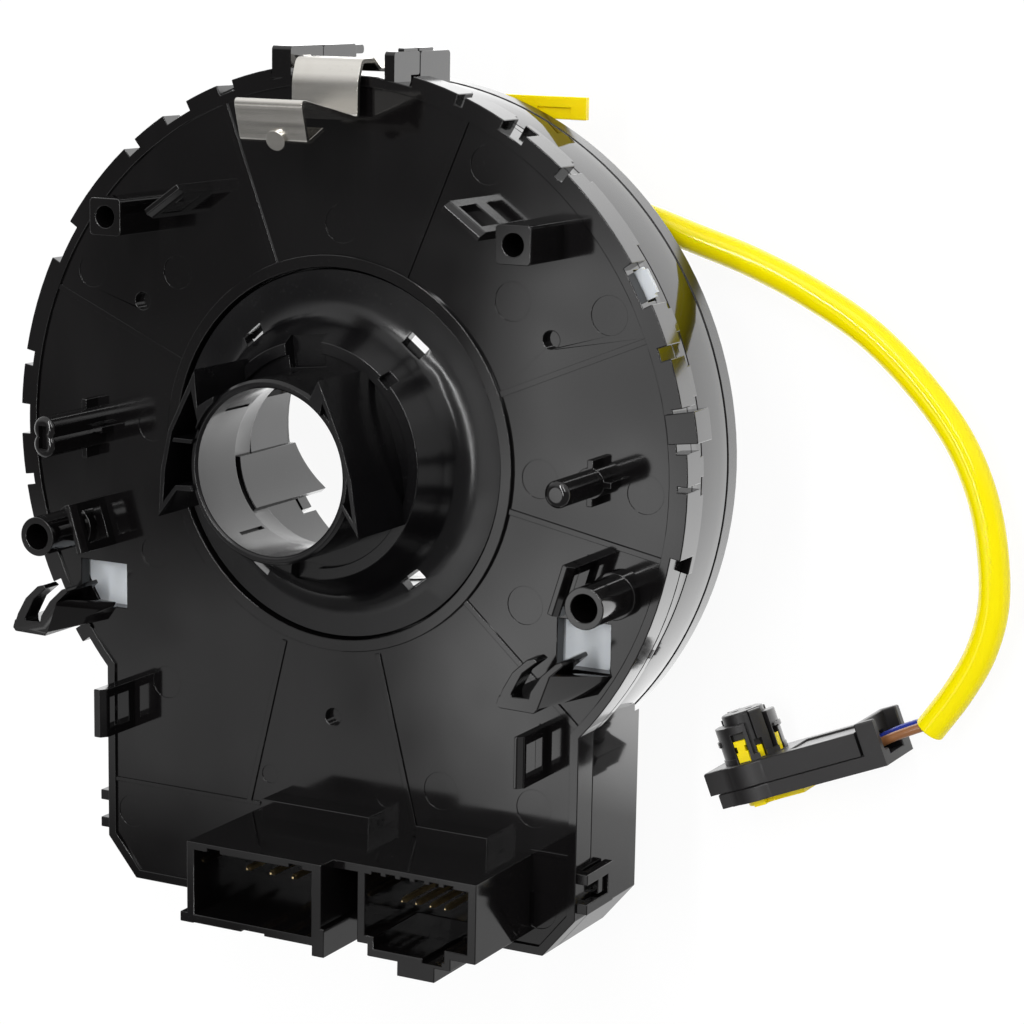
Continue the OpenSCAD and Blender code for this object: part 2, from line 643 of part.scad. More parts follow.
module wheel_socket_shell() {
    difference() {
        union() {
            block([-30, -10], [rotor_face_y - 0.2, 31], [24, 36]);
            block([-24, -16], [rotor_face_y + 4, 31], [35.8, 37.6]);
        }
        block([-28.8, -11.2], [rotor_face_y + 1.2, 32], [25.2, 34.8]);
        block([-22.8, -17.2], [rotor_face_y + 5, 32], [34, 36.6]);
    }
}

module rotor_cover() {
    color([0.12, 0.12, 0.13]) difference() {
        union() {
            lathe([
                [opening_r, 18], [48.6, 18], [49.2, 17.05], [rotor_r - 0.15, 17.05], [rotor_r, 17.2],
                [rotor_r, rotor_face_y - 0.5], [rotor_r - 0.5, rotor_face_y], [opening_r, rotor_face_y]
            ]);
            ring(23.4, 24.4, rotor_face_y - 0.1, rotor_face_y + 0.7);
            wheel_socket_shell();
            // Drive bosses that the steering wheel takes hold of
            for (a = [-20, 200]) rotate([0, -a, 0]) {
                rod(3.2, rotor_face_y - 0.2, 27, 33);
                rod(2.2, 26.9, 29, 33);
            }
            for (a = [0, 18, 60, 180, 162, 240, 270, 300])
                radial_bar(a, 24, 47.6, 1, rotor_face_y - 0.1, rotor_face_y + 0.7);
            ring(47.4, 48.4, rotor_face_y - 0.1, rotor_face_y + 0.4);
            // Cradle for the clamp
            block([12.5, 21.2], [rotor_face_y - 0.2, 21.6], [32.6, 41.4]);
        }
        for (a = [45, 135, 225, 315]) ring(opening_r - 1, 22.2, 17, 22, [a - 8.5, a + 8.5]);
        // Slots for the wheel side terminals
        for (x = wheel_pin_x) block([x - 0.4, x + 0.4], [17, 23], [29.6, 30.4]);
        // Slot for the lock's finger, and the lead's way in
        radial_bar(lock_angle, 46.4, 48.2, 5.6, 16, 22);
        rod(1.3, 17, 22, 14, 37.9);
    }
}

module wheel_slide_sheet() {
    color([0.92, 0.93, 0.93]) difference() {
        ring(22.3, 48.2, 17.3, 17.9);
        block([-28, -12], [17, 18.5], [28.6, 31.4]);
        radial_bar(lock_angle, 46, 50, 6.2, 17, 19);
        rod(2, 17, 19, 14, 37.9);
    }
}

module wheel_socket_pins() {
    color([0.85, 0.68, 0.35]) for (x = wheel_pin_x) translate([x, 0, 30]) mirror([0, 1, 0])
        terminal_pin(0, 0, -28.5, -17.4, 0.64);
}

// Clamp that holds the sleeve on the rotor's wheel side face
module cable_clamp() {
    color([0.12, 0.12, 0.13]) translate([16.8, 0, 37.3]) rotate([0, 16.5, 0]) difference() {
        block([-3.6, 3.6], [21.7, 27], [-4, 4]);
        translate([0, 24, 0]) rotate([0, 90, 0]) cylinder(d = sleeve_d - 0.2, h = 20, center = true);
    }
}

// Tapered sleeve round the lead where it leaves the clamp
module strain_relief() {
    color([0.14, 0.14, 0.15]) translate([16.8, 24, 37.3]) rotate([0, 16.5, 0]) rotate([0, 90, 0]) {
        translate([0, 0, -5.4]) cylinder(r = sleeve_d / 2 - 0.15, h = 9);
        translate([0, 0, 3.6]) cylinder(r1 = sleeve_d / 2 + 0.5, r2 = sleeve_d / 2 + 0.1, h = 1.2);
    }
}

module guide_ring() {
    color([0.9, 0.91, 0.9]) difference() {
        union() {
            // Channel section, open towards the wheel, and a floor across its mouth
            lathe([
                [guide_in_r, guide_y[0]], [guide_out_r, guide_y[0]], [guide_out_r, guide_y[1]],
                [guide_out_r - 1.2, guide_y[1]], [guide_out_r - 1.2, guide_y[0] + 1],
                [guide_in_r + 1.2, guide_y[0] + 1], [guide_in_r + 1.2, guide_y[1]], [guide_in_r, guide_y[1]]
            ], [mouth_half, 360 - mouth_half]);
            ring(guide_in_r + 0.1, guide_out_r - 0.1, guide_y[0] + 0.05, guide_y[0] + 0.95, [-mouth_half - 1, mouth_half + 1]);
            for (a = [mouth_half + 3, 60, 105, 150, 195, 240, 285, 360 - mouth_half - 3])
                radial_bar(a, guide_in_r + 0.6, guide_out_r - 0.6, 1.2, guide_y[0] + 0.5, guide_y[1] - 0.6);
            rod(1.6, guide_y[0] + 0.3, guide_y[1] - 0.4, roller_pos_r, 0);
        }
        for (a = [38:45:330]) radial_bar(a, guide_in_r + 3.4, guide_out_r - 3.4, 6, guide_y[0] - 1, guide_y[0] + 2);
    }
}

module turning_roller() {
    color([0.85, 0.87, 0.86]) difference() {
        union() {
            rod(roller_r, guide_y[0] + 1.3, guide_y[1] - 0.9, roller_pos_r, 0);
        }
        rod(1.65, 0, 20, roller_pos_r, 0);
        for (a = [0:60:300]) translate([roller_pos_r, 0, 0]) rotate([0, a, 0]) rod(0.9, 7.5, 20, 4, 0);
    }
}

// The ribbon's bend round the roller, which rides with the guide ring
module cable_u_turn() {
    bend_r = roller_r + 0.35;
    color([0.95, 0.75, 0.45]) difference() {
        rod(bend_r + ribbon_t, winding_y[0] + 1, winding_y[1] - 0.7, roller_pos_r, 0);
        rod(bend_r, 0, 20, roller_pos_r, 0);
        block([roller_pos_r - 20, roller_pos_r + 20], [0, 20], [0.6, 20]);
        rod(guide_in_r, 0, 20);
    }
}

// Tab that is pulled off once the unit is on the column, shown with its finger out of the drum's notch
module transport_lock() {
    color([0.95, 0.82, 0.05]) difference() {
        union() {
            block([13.4, 26.4], [21, 22], [45.4, 48.5]);
            block([12.4, 19.4], [21, 22], [43.4, 48.5]);
            radial_bar(lock_angle, 46.8, 47.8, 4.8, 17.6, 21.5);
        }
        // Thinner stretch beside the grip
        block([19, 24], [20, 21.4], [44, 47]);
    }
}

module yellow_sleeve() {
    color([0.96, 0.86, 0.02]) tube(sleeve_route, sleeve_d, 10);
}

module brown_wire() {
    color([0.55, 0.33, 0.2]) tube(brown_route, wire_d, 8);
}

module blue_wire() {
    color([0.15, 0.2, 0.6]) tube(blue_route, wire_d, 8);
}

// Puts a shape from the plug's own frame, X along its body and Z out of its head, into place
module plug_place() {
    translate(plug_pos) rotate([0, -plug_tilt, 0]) children();
}

// Plan of the plug's body, with the round boss under its head
module plug_plan() {
    translate([-0.9, 0.4 - plug_half_t]) square([6, 2 * plug_half_t - 0.8]);
    translate([2, -plug_half_t]) square([24, 2 * plug_half_t]);
    translate([plug_head_u, 0]) circle(r = plug_boss_r);
}

// A stretch of wall round the head's axis, between two radii, two heights and two angles
module head_wall(r0, r1, h0, h1, a0, a1) {
    translate([plug_head_u, 0, h0]) rotate([0, 0, a0]) rotate_extrude(angle = a1 - a0)
        translate([r0, 0]) square([r1 - r0, h1 - h0]);
}

module plug_head() {
    translate([plug_head_u, 0, plug_top - 0.2]) cylinder(r = plug_head_r + 0.15, h = 1);
    translate([plug_head_u, 0, plug_top - 0.2]) cylinder(r = 3, h = 6.9);
    head_wall(2.8, plug_head_r, plug_top, 8.5, 170, 292);
    head_wall(4, plug_head_r + 0.25, 5.9, 6.7, 174, 222);
    head_wall(2.8, plug_head_r - 0.3, plug_top, 9.2, 148, 168.5);
    head_wall(2.8, plug_head_r - 0.6, plug_top, 10, 118, 148.5);
    head_wall(2.8, plug_head_r, plug_top, 9.1, -18, 38);
    head_wall(4, plug_head_r + 0.25, 6.5, 7.2, -12, 32);
    head_wall(2.8, plug_head_r - 0.9, plug_top, 9.6, -64, -54);
    head_wall(2.8, plug_head_r - 0.3, plug_top, 9.9, -52, -26);
    for (a = [58, 78, 98]) head_wall(2.8, plug_head_r - 0.5, plug_top, 9.6, a, a + 7);
}

module plug_upper_shell() {
    color([0.15, 0.15, 0.16]) plug_place() difference() {
        union() {
            translate([0, 0, 0.05]) linear_extrude(plug_top - 0.05) intersection() {
                plug_plan();
                translate([-2, -8]) square([24.8, 16]);
            }
            plug_head();
        }
        // Windows for the yellow lock, and its way through
        for (w = lock_legs) {
            lock_leg(w, -3, w[3] + 0.95, leg_gap);
            translate([0, 0, plug_top + 0.1]) lock_leg(w, 0, w[3] + 0.95 - plug_top - 0.1, leg_gap, 3);
        }
        // Openings for the airbag's two pins
        for (s = [-1, 1]) translate([plug_head_u + s * 1.1, 0, 2.6]) cylinder(r = 0.55, h = 9, $fn = 24);
        // Rounded end at the seam, and a shallow panel on top
        translate([22.8, -6, 0]) rotate([0, 45, 0]) cube([1.2, 12, 1.2], center = false);
        translate([12, -3.4, plug_top - 0.3]) cube([9.4, 6.8, 1]);
    }
}

module plug_lower_shell() {
    color([0.15, 0.15, 0.16]) plug_place() difference() {
        union() {
            translate([0, 0, plug_bottom]) linear_extrude(-plug_bottom) intersection() {
                plug_plan();
                translate([0.2, -8]) square([25.8, 16]);
            }
            translate([23.1, -plug_half_t, plug_bottom]) cube([2.9, 2 * plug_half_t, 6.5]);
        }
        // Trough that the wires lie in
        translate([24, -3.8, 0]) cube([4, 7.6, 6]);
        translate([22, -2.4, 0.1]) cube([4, 4.8, 1.8]);
        translate([18, -2.4, -0.9]) cube([9, 4.8, 2.4]);
        // Seat of the lock's pad
        translate([0, 0, plug_bottom - 0.1]) linear_extrude(1) lock_pad(0.2);
        for (w = lock_legs) lock_leg(w, -3, 1, leg_gap);
    }
}

module lock_pad(grow) {
    translate([plug_head_u, 0]) circle(r = 3.2 + grow);
    translate([plug_head_u, -2.6 - grow]) square([6.4 + grow, 5.2 + 2 * grow]);
    for (w = lock_legs) translate([plug_head_u, 0]) rotate(w[0])
        translate([0, -w[2] / 2 - grow]) square([w[1] + grow, w[2] + 2 * grow]);
}

// Legs of the lock: angle round the head's axis, outer radius, width and top of each
lock_legs = [[272, plug_head_r - 0.05, 1.8, 6.4], [309, 3.5, 0.8, 5], [352, plug_head_r - 0.1, 1, 5.8]];
leg_t = 0.8;
leg_gap = 0.12;

module lock_leg(leg, h0, h1, gap, reach = 0) {
    translate([plug_head_u, 0, h0]) rotate([0, 0, leg[0]])
        translate([leg[1] - leg_t - gap, -leg[2] / 2 - gap, 0]) cube([leg_t + 2 * gap + reach, leg[2] + 2 * gap, h1 - h0]);
}

// Lock of the plug: the pad below is pressed in, and its legs show in the head's windows
module plug_lock() {
    color([0.93, 0.8, 0.05]) plug_place() difference() {
        union() {
            translate([0, 0, plug_bottom - 0.9]) linear_extrude(0.9) lock_pad(0);
            for (w = lock_legs) lock_leg(w, plug_bottom - 0.1, w[3], 0);
        }
        // Waist of the first leg
        for (s = [-1, 1]) translate([0, 0, 5.2]) rotate_leg(lock_legs[0]) translate([0, s * 0.95, 0])
            cube([3, 0.7, 0.8], center = true);
    }
}

module rotate_leg(leg) {
    translate([plug_head_u, 0, 0]) rotate([0, 0, leg[0]]) translate([leg[1], 0, 0]) children();
}

module plug_terminals() {
    color([0.85, 0.68, 0.35]) plug_place() for (s = [-1, 1])
        translate([plug_head_u + s * 1.1 - 0.3, -0.3, 3.4]) cube([0.6, 0.6, 4.6]);
}

column_cover();
drum_housing();
slide_sheet();
spring_clip();
terminal_block();
left_socket_pins();
right_socket_pins();
outer_winding();
outer_cable_holder();
rotor_hub();
rotor_cover();
wheel_slide_sheet();
inner_winding();
inner_cable_holder();
wheel_socket_pins();
cable_clamp();
strain_relief();
guide_ring();
cable_u_turn();
turning_roller();
transport_lock();
yellow_sleeve();
brown_wire();
blue_wire();
plug_upper_shell();
plug_lower_shell();
plug_terminals();
plug_lock();
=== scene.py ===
"""Looks of the steering clock spring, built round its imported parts.

Every length here is in metres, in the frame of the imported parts: the origin is on the rotor's axis in the
plane of the cover's column side, +Y points to the steering wheel and +Z is up. The unit was photographed
lying on its wheel side, so the table is the plane behind it and the camera looks down on its column side.
"""

from __future__ import annotations

import logging
import math
from dataclasses import dataclass, field
from enum import Enum

import bmesh
import bpy
from mathutils import Matrix, Quaternion, Vector, kdtree

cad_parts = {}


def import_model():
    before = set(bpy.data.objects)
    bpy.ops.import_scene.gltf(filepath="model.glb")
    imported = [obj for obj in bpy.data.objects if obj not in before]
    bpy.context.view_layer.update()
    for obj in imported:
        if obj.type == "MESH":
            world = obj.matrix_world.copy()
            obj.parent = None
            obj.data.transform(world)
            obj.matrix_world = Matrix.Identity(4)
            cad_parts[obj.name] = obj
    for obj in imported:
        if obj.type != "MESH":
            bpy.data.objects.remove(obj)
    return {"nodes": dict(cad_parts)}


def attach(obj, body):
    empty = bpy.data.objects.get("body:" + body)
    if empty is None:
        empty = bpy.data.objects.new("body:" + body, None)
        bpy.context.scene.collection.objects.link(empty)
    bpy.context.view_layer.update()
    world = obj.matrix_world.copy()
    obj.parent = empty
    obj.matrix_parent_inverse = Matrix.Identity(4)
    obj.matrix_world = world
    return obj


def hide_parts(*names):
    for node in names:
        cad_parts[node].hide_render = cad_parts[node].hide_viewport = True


LOG = logging.getLogger("clock_spring")
MM = 0.001
Point = tuple[float, float, float]
Colour = tuple[float, float, float]
Ends = tuple[float, float]
Socket = bpy.types.NodeSocket
Sockets = bpy.types.bpy_prop_collection
# Most of a noise's values lie between these two
NOISE_ENDS = (0.3, 0.7)


class Body(Enum):
    """The rigid bodies that pieces ride on."""

    HOUSING = "housing"
    ROTOR = "rotor"
    GUIDE = "guide"
    ROLLER = "roller"
    TRANSPORT_LOCK = "transport_lock"
    PLUG_LOCK = "plug_lock"


class Slot(Enum):
    """The record's material slots."""

    HOUSING = "housing_plastic"
    ROTOR = "rotor_plastic"
    INNER = "inner_plastic"
    FILM = "slide_film"
    ACETAL = "natural_acetal"
    STEEL = "nickel_steel"
    GOLD = "gold_terminal"
    RIBBON = "flat_cable"
    SLEEVE = "yellow_sleeve"
    YELLOW = "yellow_lock"
    PLUG = "plug_plastic"
    BROWN = "brown_insulation"
    BLUE = "blue_insulation"


# Nodes and meshes


class NodeBench:
    """Makes nodes in a tree and links them, for materials, shader groups and geometry trees."""

    def __init__(self, tree: bpy.types.NodeTree) -> None:
        """Takes the tree to work in."""
        self.tree = tree

    def node(self, kind: str, **settings: object) -> bpy.types.Node:
        """Adds a node.

        Args:
            kind: The node's Blender type.
            **settings: Its own properties.

        Returns:
            The node.
        """
        made = self.tree.nodes.new(kind)
        for name, value in settings.items():
            setattr(made, name, value)
        return made

    def feed(self, source: object, target: Socket) -> None:
        """Feeds an input.

        Args:
            source: A socket to link, or a plain value.
            target: The input.
        """
        if isinstance(source, Socket):
            self.tree.links.new(source, target)
        else:
            target.default_value = source

    def fed(self, kind: str, values: dict[str, object], **settings: object) -> bpy.types.Node:
        """Adds a node and feeds its inputs.

        Args:
            kind: The node's Blender type.
            values: Sockets or plain values by the names of the inputs.
            **settings: The node's own properties.

        Returns:
            The node.
        """
        made = self.node(kind, **settings)
        for label, value in values.items():
            self.feed(value, made.inputs[label])
        return made

    def math(self, operation: str, *values: object) -> Socket:
        """Adds a Math node.

        Args:
            operation: The node's operation.
            *values: Its inputs, each a socket or a number.

        Returns:
            The result's socket.
        """
        made = self.node("ShaderNodeMath", operation=operation)
        for value, target in zip(values, made.inputs):
            self.feed(value, target)
        return made.outputs[0]

    def place(self) -> Socket:
        """Returns the place on the object, in metres."""
        return self.node("ShaderNodeTexCoord").outputs["Object"]

    def axes(self, where: Socket) -> Sockets:
        """Splits a place and returns its X, Y and Z sockets by name."""
        return self.fed("ShaderNodeSeparateXYZ", {"Vector": where}).outputs

    def noise(self, where: Socket, scale: object, detail: float) -> Socket:
        """Adds a noise and returns its value's socket."""
        values = {"Vector": where, "Scale": scale, "Detail": detail}
        return self.fed("ShaderNodeTexNoise", values).outputs["Fac"]

    def ramp(self, value: Socket, ends: Ends, to: Ends) -> Socket:
        """Maps a value evenly, and no further than the two ends.

        Args:
            value: The value.
            ends: The value's two ends.
            to: What the two ends become.

        Returns:
            The result's socket.
        """
        (low, high), (first, last) = ends, to
        values = {"Value": value, "From Min": low, "From Max": high, "To Min": first, "To Max": last}
        return self.fed("ShaderNodeMapRange", values).outputs["Result"]

    def mix(self, kind: str, share: object, one: object, two: object) -> Socket:
        """Mixes two numbers or colours.

        Args:
            kind: FLOAT or RGBA.
            share: How much of the second is taken.
            one: The first, a socket or a plain value.
            two: The second, a socket or a plain value.

        Returns:
            The result's socket.
        """
        values = {"Factor": share, "A": one, "B": two}
        return self.fed("ShaderNodeMix", values, data_type=kind).outputs["Result"]

    def bump(self, height: Socket) -> Socket:
        """Turns a height in metres into a normal."""
        return self.fed("ShaderNodeBump", {"Distance": 1.0, "Height": height}).outputs["Normal"]

    def group(self, tree: bpy.types.NodeTree, values: dict[str, float]) -> Sockets:
        """Places a shader group with its own values and returns its outputs by name."""
        return self.fed("ShaderNodeGroup", values, node_tree=tree).outputs

    def shader(self, kind: str, values: dict[str, object]) -> Socket:
        """Adds a shader with the given inputs and returns its socket."""
        return self.fed(kind, values).outputs[0]

    def blend(self, share: object, one: Socket, two: Socket) -> Socket:
        """Mixes two shaders.

        Args:
            share: How much of the second is taken, a socket or a number.
            one: The first shader.
            two: The second shader.

        Returns:
            The mixed shader's socket.
        """
        made = self.node("ShaderNodeMixShader")
        for value, target in zip((share, one, two), made.inputs):
            self.feed(value, target)
        return made.outputs[0]


def grey(level: float) -> tuple[float, float, float, float]:
    """Returns the grey of a level as an opaque colour."""
    return level, level, level, 1.0


def blank_material(name: str) -> tuple[bpy.types.Material, NodeBench]:
    """Makes a material with an empty tree.

    Args:
        name: The material's name.

    Returns:
        The material and the bench for its tree.
    """
    made = bpy.data.materials.new(name)
    made.use_nodes = True
    made.node_tree.nodes.clear()
    return made, NodeBench(made.node_tree)


def surface_material(name: str) -> tuple[bpy.types.Material, NodeBench, Sockets]:
    """Makes a material round a Principled BSDF.

    Args:
        name: The material's name.

    Returns:
        The material, the bench for its tree and the shader's inputs.
    """
    made = bpy.data.materials.new(name)
    made.use_nodes = True
    return made, NodeBench(made.node_tree), made.node_tree.nodes["Principled BSDF"].inputs


def add_piece(name: str, mesh: bpy.types.ID) -> bpy.types.Object:
    """Puts a mesh or a curve in the scene as an object at the origin.

    Args:
        name: The object's name.
        mesh: The mesh or the curve.

    Returns:
        The object.
    """
    piece = bpy.data.objects.new(name, mesh)
    bpy.context.scene.collection.objects.link(piece)
    return piece


def add_panel(name: str, corners: list[Point], material: bpy.types.Material) -> bpy.types.Object:
    """Puts a flat panel in the scene.

    Args:
        name: The panel's name.
        corners: Its corners, in order.
        material: Its material.

    Returns:
        The panel.
    """
    mesh = bpy.data.meshes.new(name)
    mesh.from_pydata(corners, [], [tuple(range(len(corners)))])
    mesh.update()
    mesh.materials.append(material)
    panel = add_piece(name, mesh)
    return panel


def shade_smooth_by_angle(mesh: bpy.types.Mesh, degrees: float = 40.0) -> None:
    """Shades a mesh smooth and marks its edges over an angle sharp.

    Args:
        mesh: The mesh.
        degrees: The angle.
    """
    work = bmesh.new()
    work.from_mesh(mesh)
    limit = math.radians(degrees)
    for face in work.faces:
        face.smooth = True
    for edge in work.edges:
        edge.smooth = len(edge.link_faces) == 2 and edge.calc_face_angle(0.0) < limit
    work.to_mesh(mesh)
    work.free()


def swept_mesh(name: str, loops: list[list[Vector]], closed: bool) -> bpy.types.Mesh:
    """Joins loops of points into one skin.

    Args:
        name: Name of the mesh.
        loops: The loops, all with the same number of points.
        closed: Whether the last loop joins the first. Otherwise both ends are filled.

    Returns:
        The mesh, smooth, with its faces outwards.
    """
    work = bmesh.new()
    rows = [[work.verts.new(point) for point in loop] for loop in loops]
    for one, two in zip(rows, rows[1:] + (rows[:1] if closed else [])):
        for k in range(len(one)):
            n = (k + 1) % len(one)
            work.faces.new((one[k], two[k], two[n], one[n]))
    if not closed:
        work.faces.new(rows[0])
        work.faces.new(list(reversed(rows[-1])))
    bmesh.ops.recalc_face_normals(work, faces=work.faces)
    mesh = bpy.data.meshes.new(name)
    work.to_mesh(mesh)
    work.free()
    shade_smooth_by_angle(mesh)
    return mesh


def plain_mesh(piece: bpy.types.Object) -> bpy.types.Mesh:
    """Returns a piece's mesh, or curve, with its modifiers applied."""
    graph = bpy.context.evaluated_depsgraph_get()
    return bpy.data.meshes.new_from_object(piece.evaluated_get(graph), depsgraph=graph)


# Camera and studio


@dataclass
class Viewpoint:
    """The camera, at the place that the photograph was taken from.

    Attributes:
        azimuth: Degrees round from the -Y direction towards +X.
        elevation: Degrees above the plane of X and Y.
        roll: Degrees that the picture is turned.
        focal_px: Focal length in pixels of the picture.
        aim: Where the picture's centre falls, right of and above the origin.
        distance: From the aimed plane to the camera.
        picture_px: Width of the picture.
        sensor_mm: Width of the camera's sensor.
        reach: Nearest and farthest distance that the camera sees.
    """

    azimuth: float = 27.647
    elevation: float = 10.793
    roll: float = 1.031
    focal_px: float = 2931.5
    aim: tuple[float, float] = (23.959 * MM, -7.799 * MM)
    distance: float = 399.136 * MM
    picture_px: int = 1024
    sensor_mm: float = 36.0
    reach: Ends = (0.02, 20.0)

    def axes(self) -> tuple[Vector, Vector, Vector]:
        """Works out the camera's directions.

        Returns:
            The directions to its right, up and back.
        """
        a, e, r = (math.radians(x) for x in (self.azimuth, self.elevation, self.roll))
        back = Vector((math.sin(a) * math.cos(e), -math.cos(a) * math.cos(e), math.sin(e)))
        right = Vector((math.cos(a), math.sin(a), 0.0))
        up = back.cross(right)
        return right * math.cos(r) + up * math.sin(r), up * math.cos(r) - right * math.sin(r), back

    def place(self) -> None:
        """Puts the camera in the scene as the scene's own."""
        right, up, back = self.axes()
        data = bpy.data.cameras.new("camera")
        data.sensor_width = self.sensor_mm
        data.lens = self.sensor_mm * self.focal_px / self.picture_px
        data.clip_start, data.clip_end = self.reach
        camera = bpy.data.objects.new("camera", data)
        bpy.context.scene.collection.objects.link(camera)
        turn = Matrix((right, up, back)).transposed().to_4x4()
        where = right * self.aim[0] + up * self.aim[1] + back * self.distance
        camera.matrix_world = Matrix.Translation(where) @ turn
        bpy.context.scene.camera = camera


@dataclass
class SoftBox:
    """A soft lamp that looks at the object, and that the camera doesn't see.

    Attributes:
        name: Name of the lamp.
        where: Its place.
        size: Width and height.
        power: Watts.
        turn: Degrees that it is turned about the line to the object.
        aim: The place that it looks at.
    """

    name: str
    where: Point
    size: tuple[float, float]
    power: float
    turn: float = 0.0
    aim: Point = (0.02, 0.0, 0.0)

    def hang(self) -> None:
        """Puts the lamp in the scene."""
        data = bpy.data.lights.new(self.name, "AREA")
        data.shape = "RECTANGLE"
        data.size, data.size_y = self.size
        data.energy = self.power
        lamp = bpy.data.objects.new(self.name, data)
        bpy.context.scene.collection.objects.link(lamp)
        lamp.location = self.where
        lamp.rotation_mode = "QUATERNION"
        look = (Vector(self.aim) - Vector(self.where)).to_track_quat("-Z", "Y")
        lamp.rotation_quaternion = look @ Quaternion((0, 0, 1), math.radians(self.turn))
        lamp.visible_camera = False


@dataclass
class Patch:
    """A soft patch on the mirror card.

    Attributes:
        centre: Its middle.
        half: Its half sizes along X and Z, with 1 along Y.
        level: Its level.
        power: How square it is: 2 is an ellipse, and more is squarer.
        soft: Where its edge begins and ends, as 1 on the outline.
    """

    centre: Point
    half: Point
    level: float
    power: float = 3.0
    soft: Ends = (0.7, 1.35)

    def mask(self, bench: NodeBench, where: Socket) -> Socket:
        """Adds the patch.

        Args:
            bench: The card's nodes.
            where: The place on the card.

        Returns:
            The mask, 1 inside the patch and 0 outside.
        """
        parts = where
        for operation, values in (("SUBTRACT", self.centre), ("DIVIDE", self.half)):
            step = bench.node("ShaderNodeVectorMath", operation=operation)
            bench.feed(parts, step.inputs[0])
            bench.feed(values, step.inputs[1])
            parts = step.outputs[0]
        split = bench.axes(parts)
        sizes = (bench.math("ABSOLUTE", split[axis]) for axis in ("X", "Z"))
        out = bench.math("ADD", *(bench.math("POWER", size, self.power) for size in sizes))
        return bench.ramp(out, self.soft, (1.0, 0.0))


@dataclass
class MirrorCard:
    """The part of the room that the unit's flat face mirrors: dark patches beside a bright one.

    Attributes:
        plane_y: The plane that the card hangs in.
        span_x: Its left and right sides.
        span_z: Its lower and upper sides.
        level: Its level away from the patches.
        patches: The bright sheet, the dark flag beside it and the dark foot below.
        mottle: Scale and detail of the uneven areas.
        mottle_ends: The noise values between which they change.
        mottle_levels: Their shares of the level at those two ends.
    """

    plane_y: float = -0.6
    span_x: tuple[float, float] = (-0.62, -0.12)
    span_z: tuple[float, float] = (-0.42, 0.16)
    level: float = 0.72
    patches: list[Patch] = field(
        default_factory=lambda: [
            Patch((-0.25, -0.6, -0.145), (0.07, 1.0, 0.115), 2.4),
            Patch((-0.45, -0.6, 0.0), (0.165, 1.0, 0.165), 0.19),
            Patch((-0.45, -0.6, -0.43), (0.12, 1.0, 0.16), 0.08),
        ]
    )
    mottle: tuple[float, float] = (24.0, 1.5)
    mottle_ends: Ends = (0.4, 0.56)
    mottle_levels: Ends = (0.66, 1.06)

    def hang(self) -> None:
        """Puts the card in the scene, where only mirrors show it."""
        paper, bench = blank_material("mirror_card")
        where = bench.place()
        level: object = self.level
        for patch in self.patches:
            level = bench.mix("FLOAT", patch.mask(bench, where), level, patch.level)
        uneven = bench.ramp(bench.noise(where, *self.mottle), self.mottle_ends, self.mottle_levels)
        glow = bench.shader("ShaderNodeEmission", {"Strength": bench.math("MULTIPLY", level, uneven)})
        bench.fed("ShaderNodeOutputMaterial", {"Surface": glow})
        (x0, x1), (z0, z1), y = self.span_x, self.span_z, self.plane_y
        card = add_panel("mirror_card", [(x0, y, z0), (x0, y, z1), (x1, y, z1), (x1, y, z0)], paper)
        card.visible_camera = False
        card.visible_diffuse = False
        card.visible_shadow = False
        card.visible_transmission = False


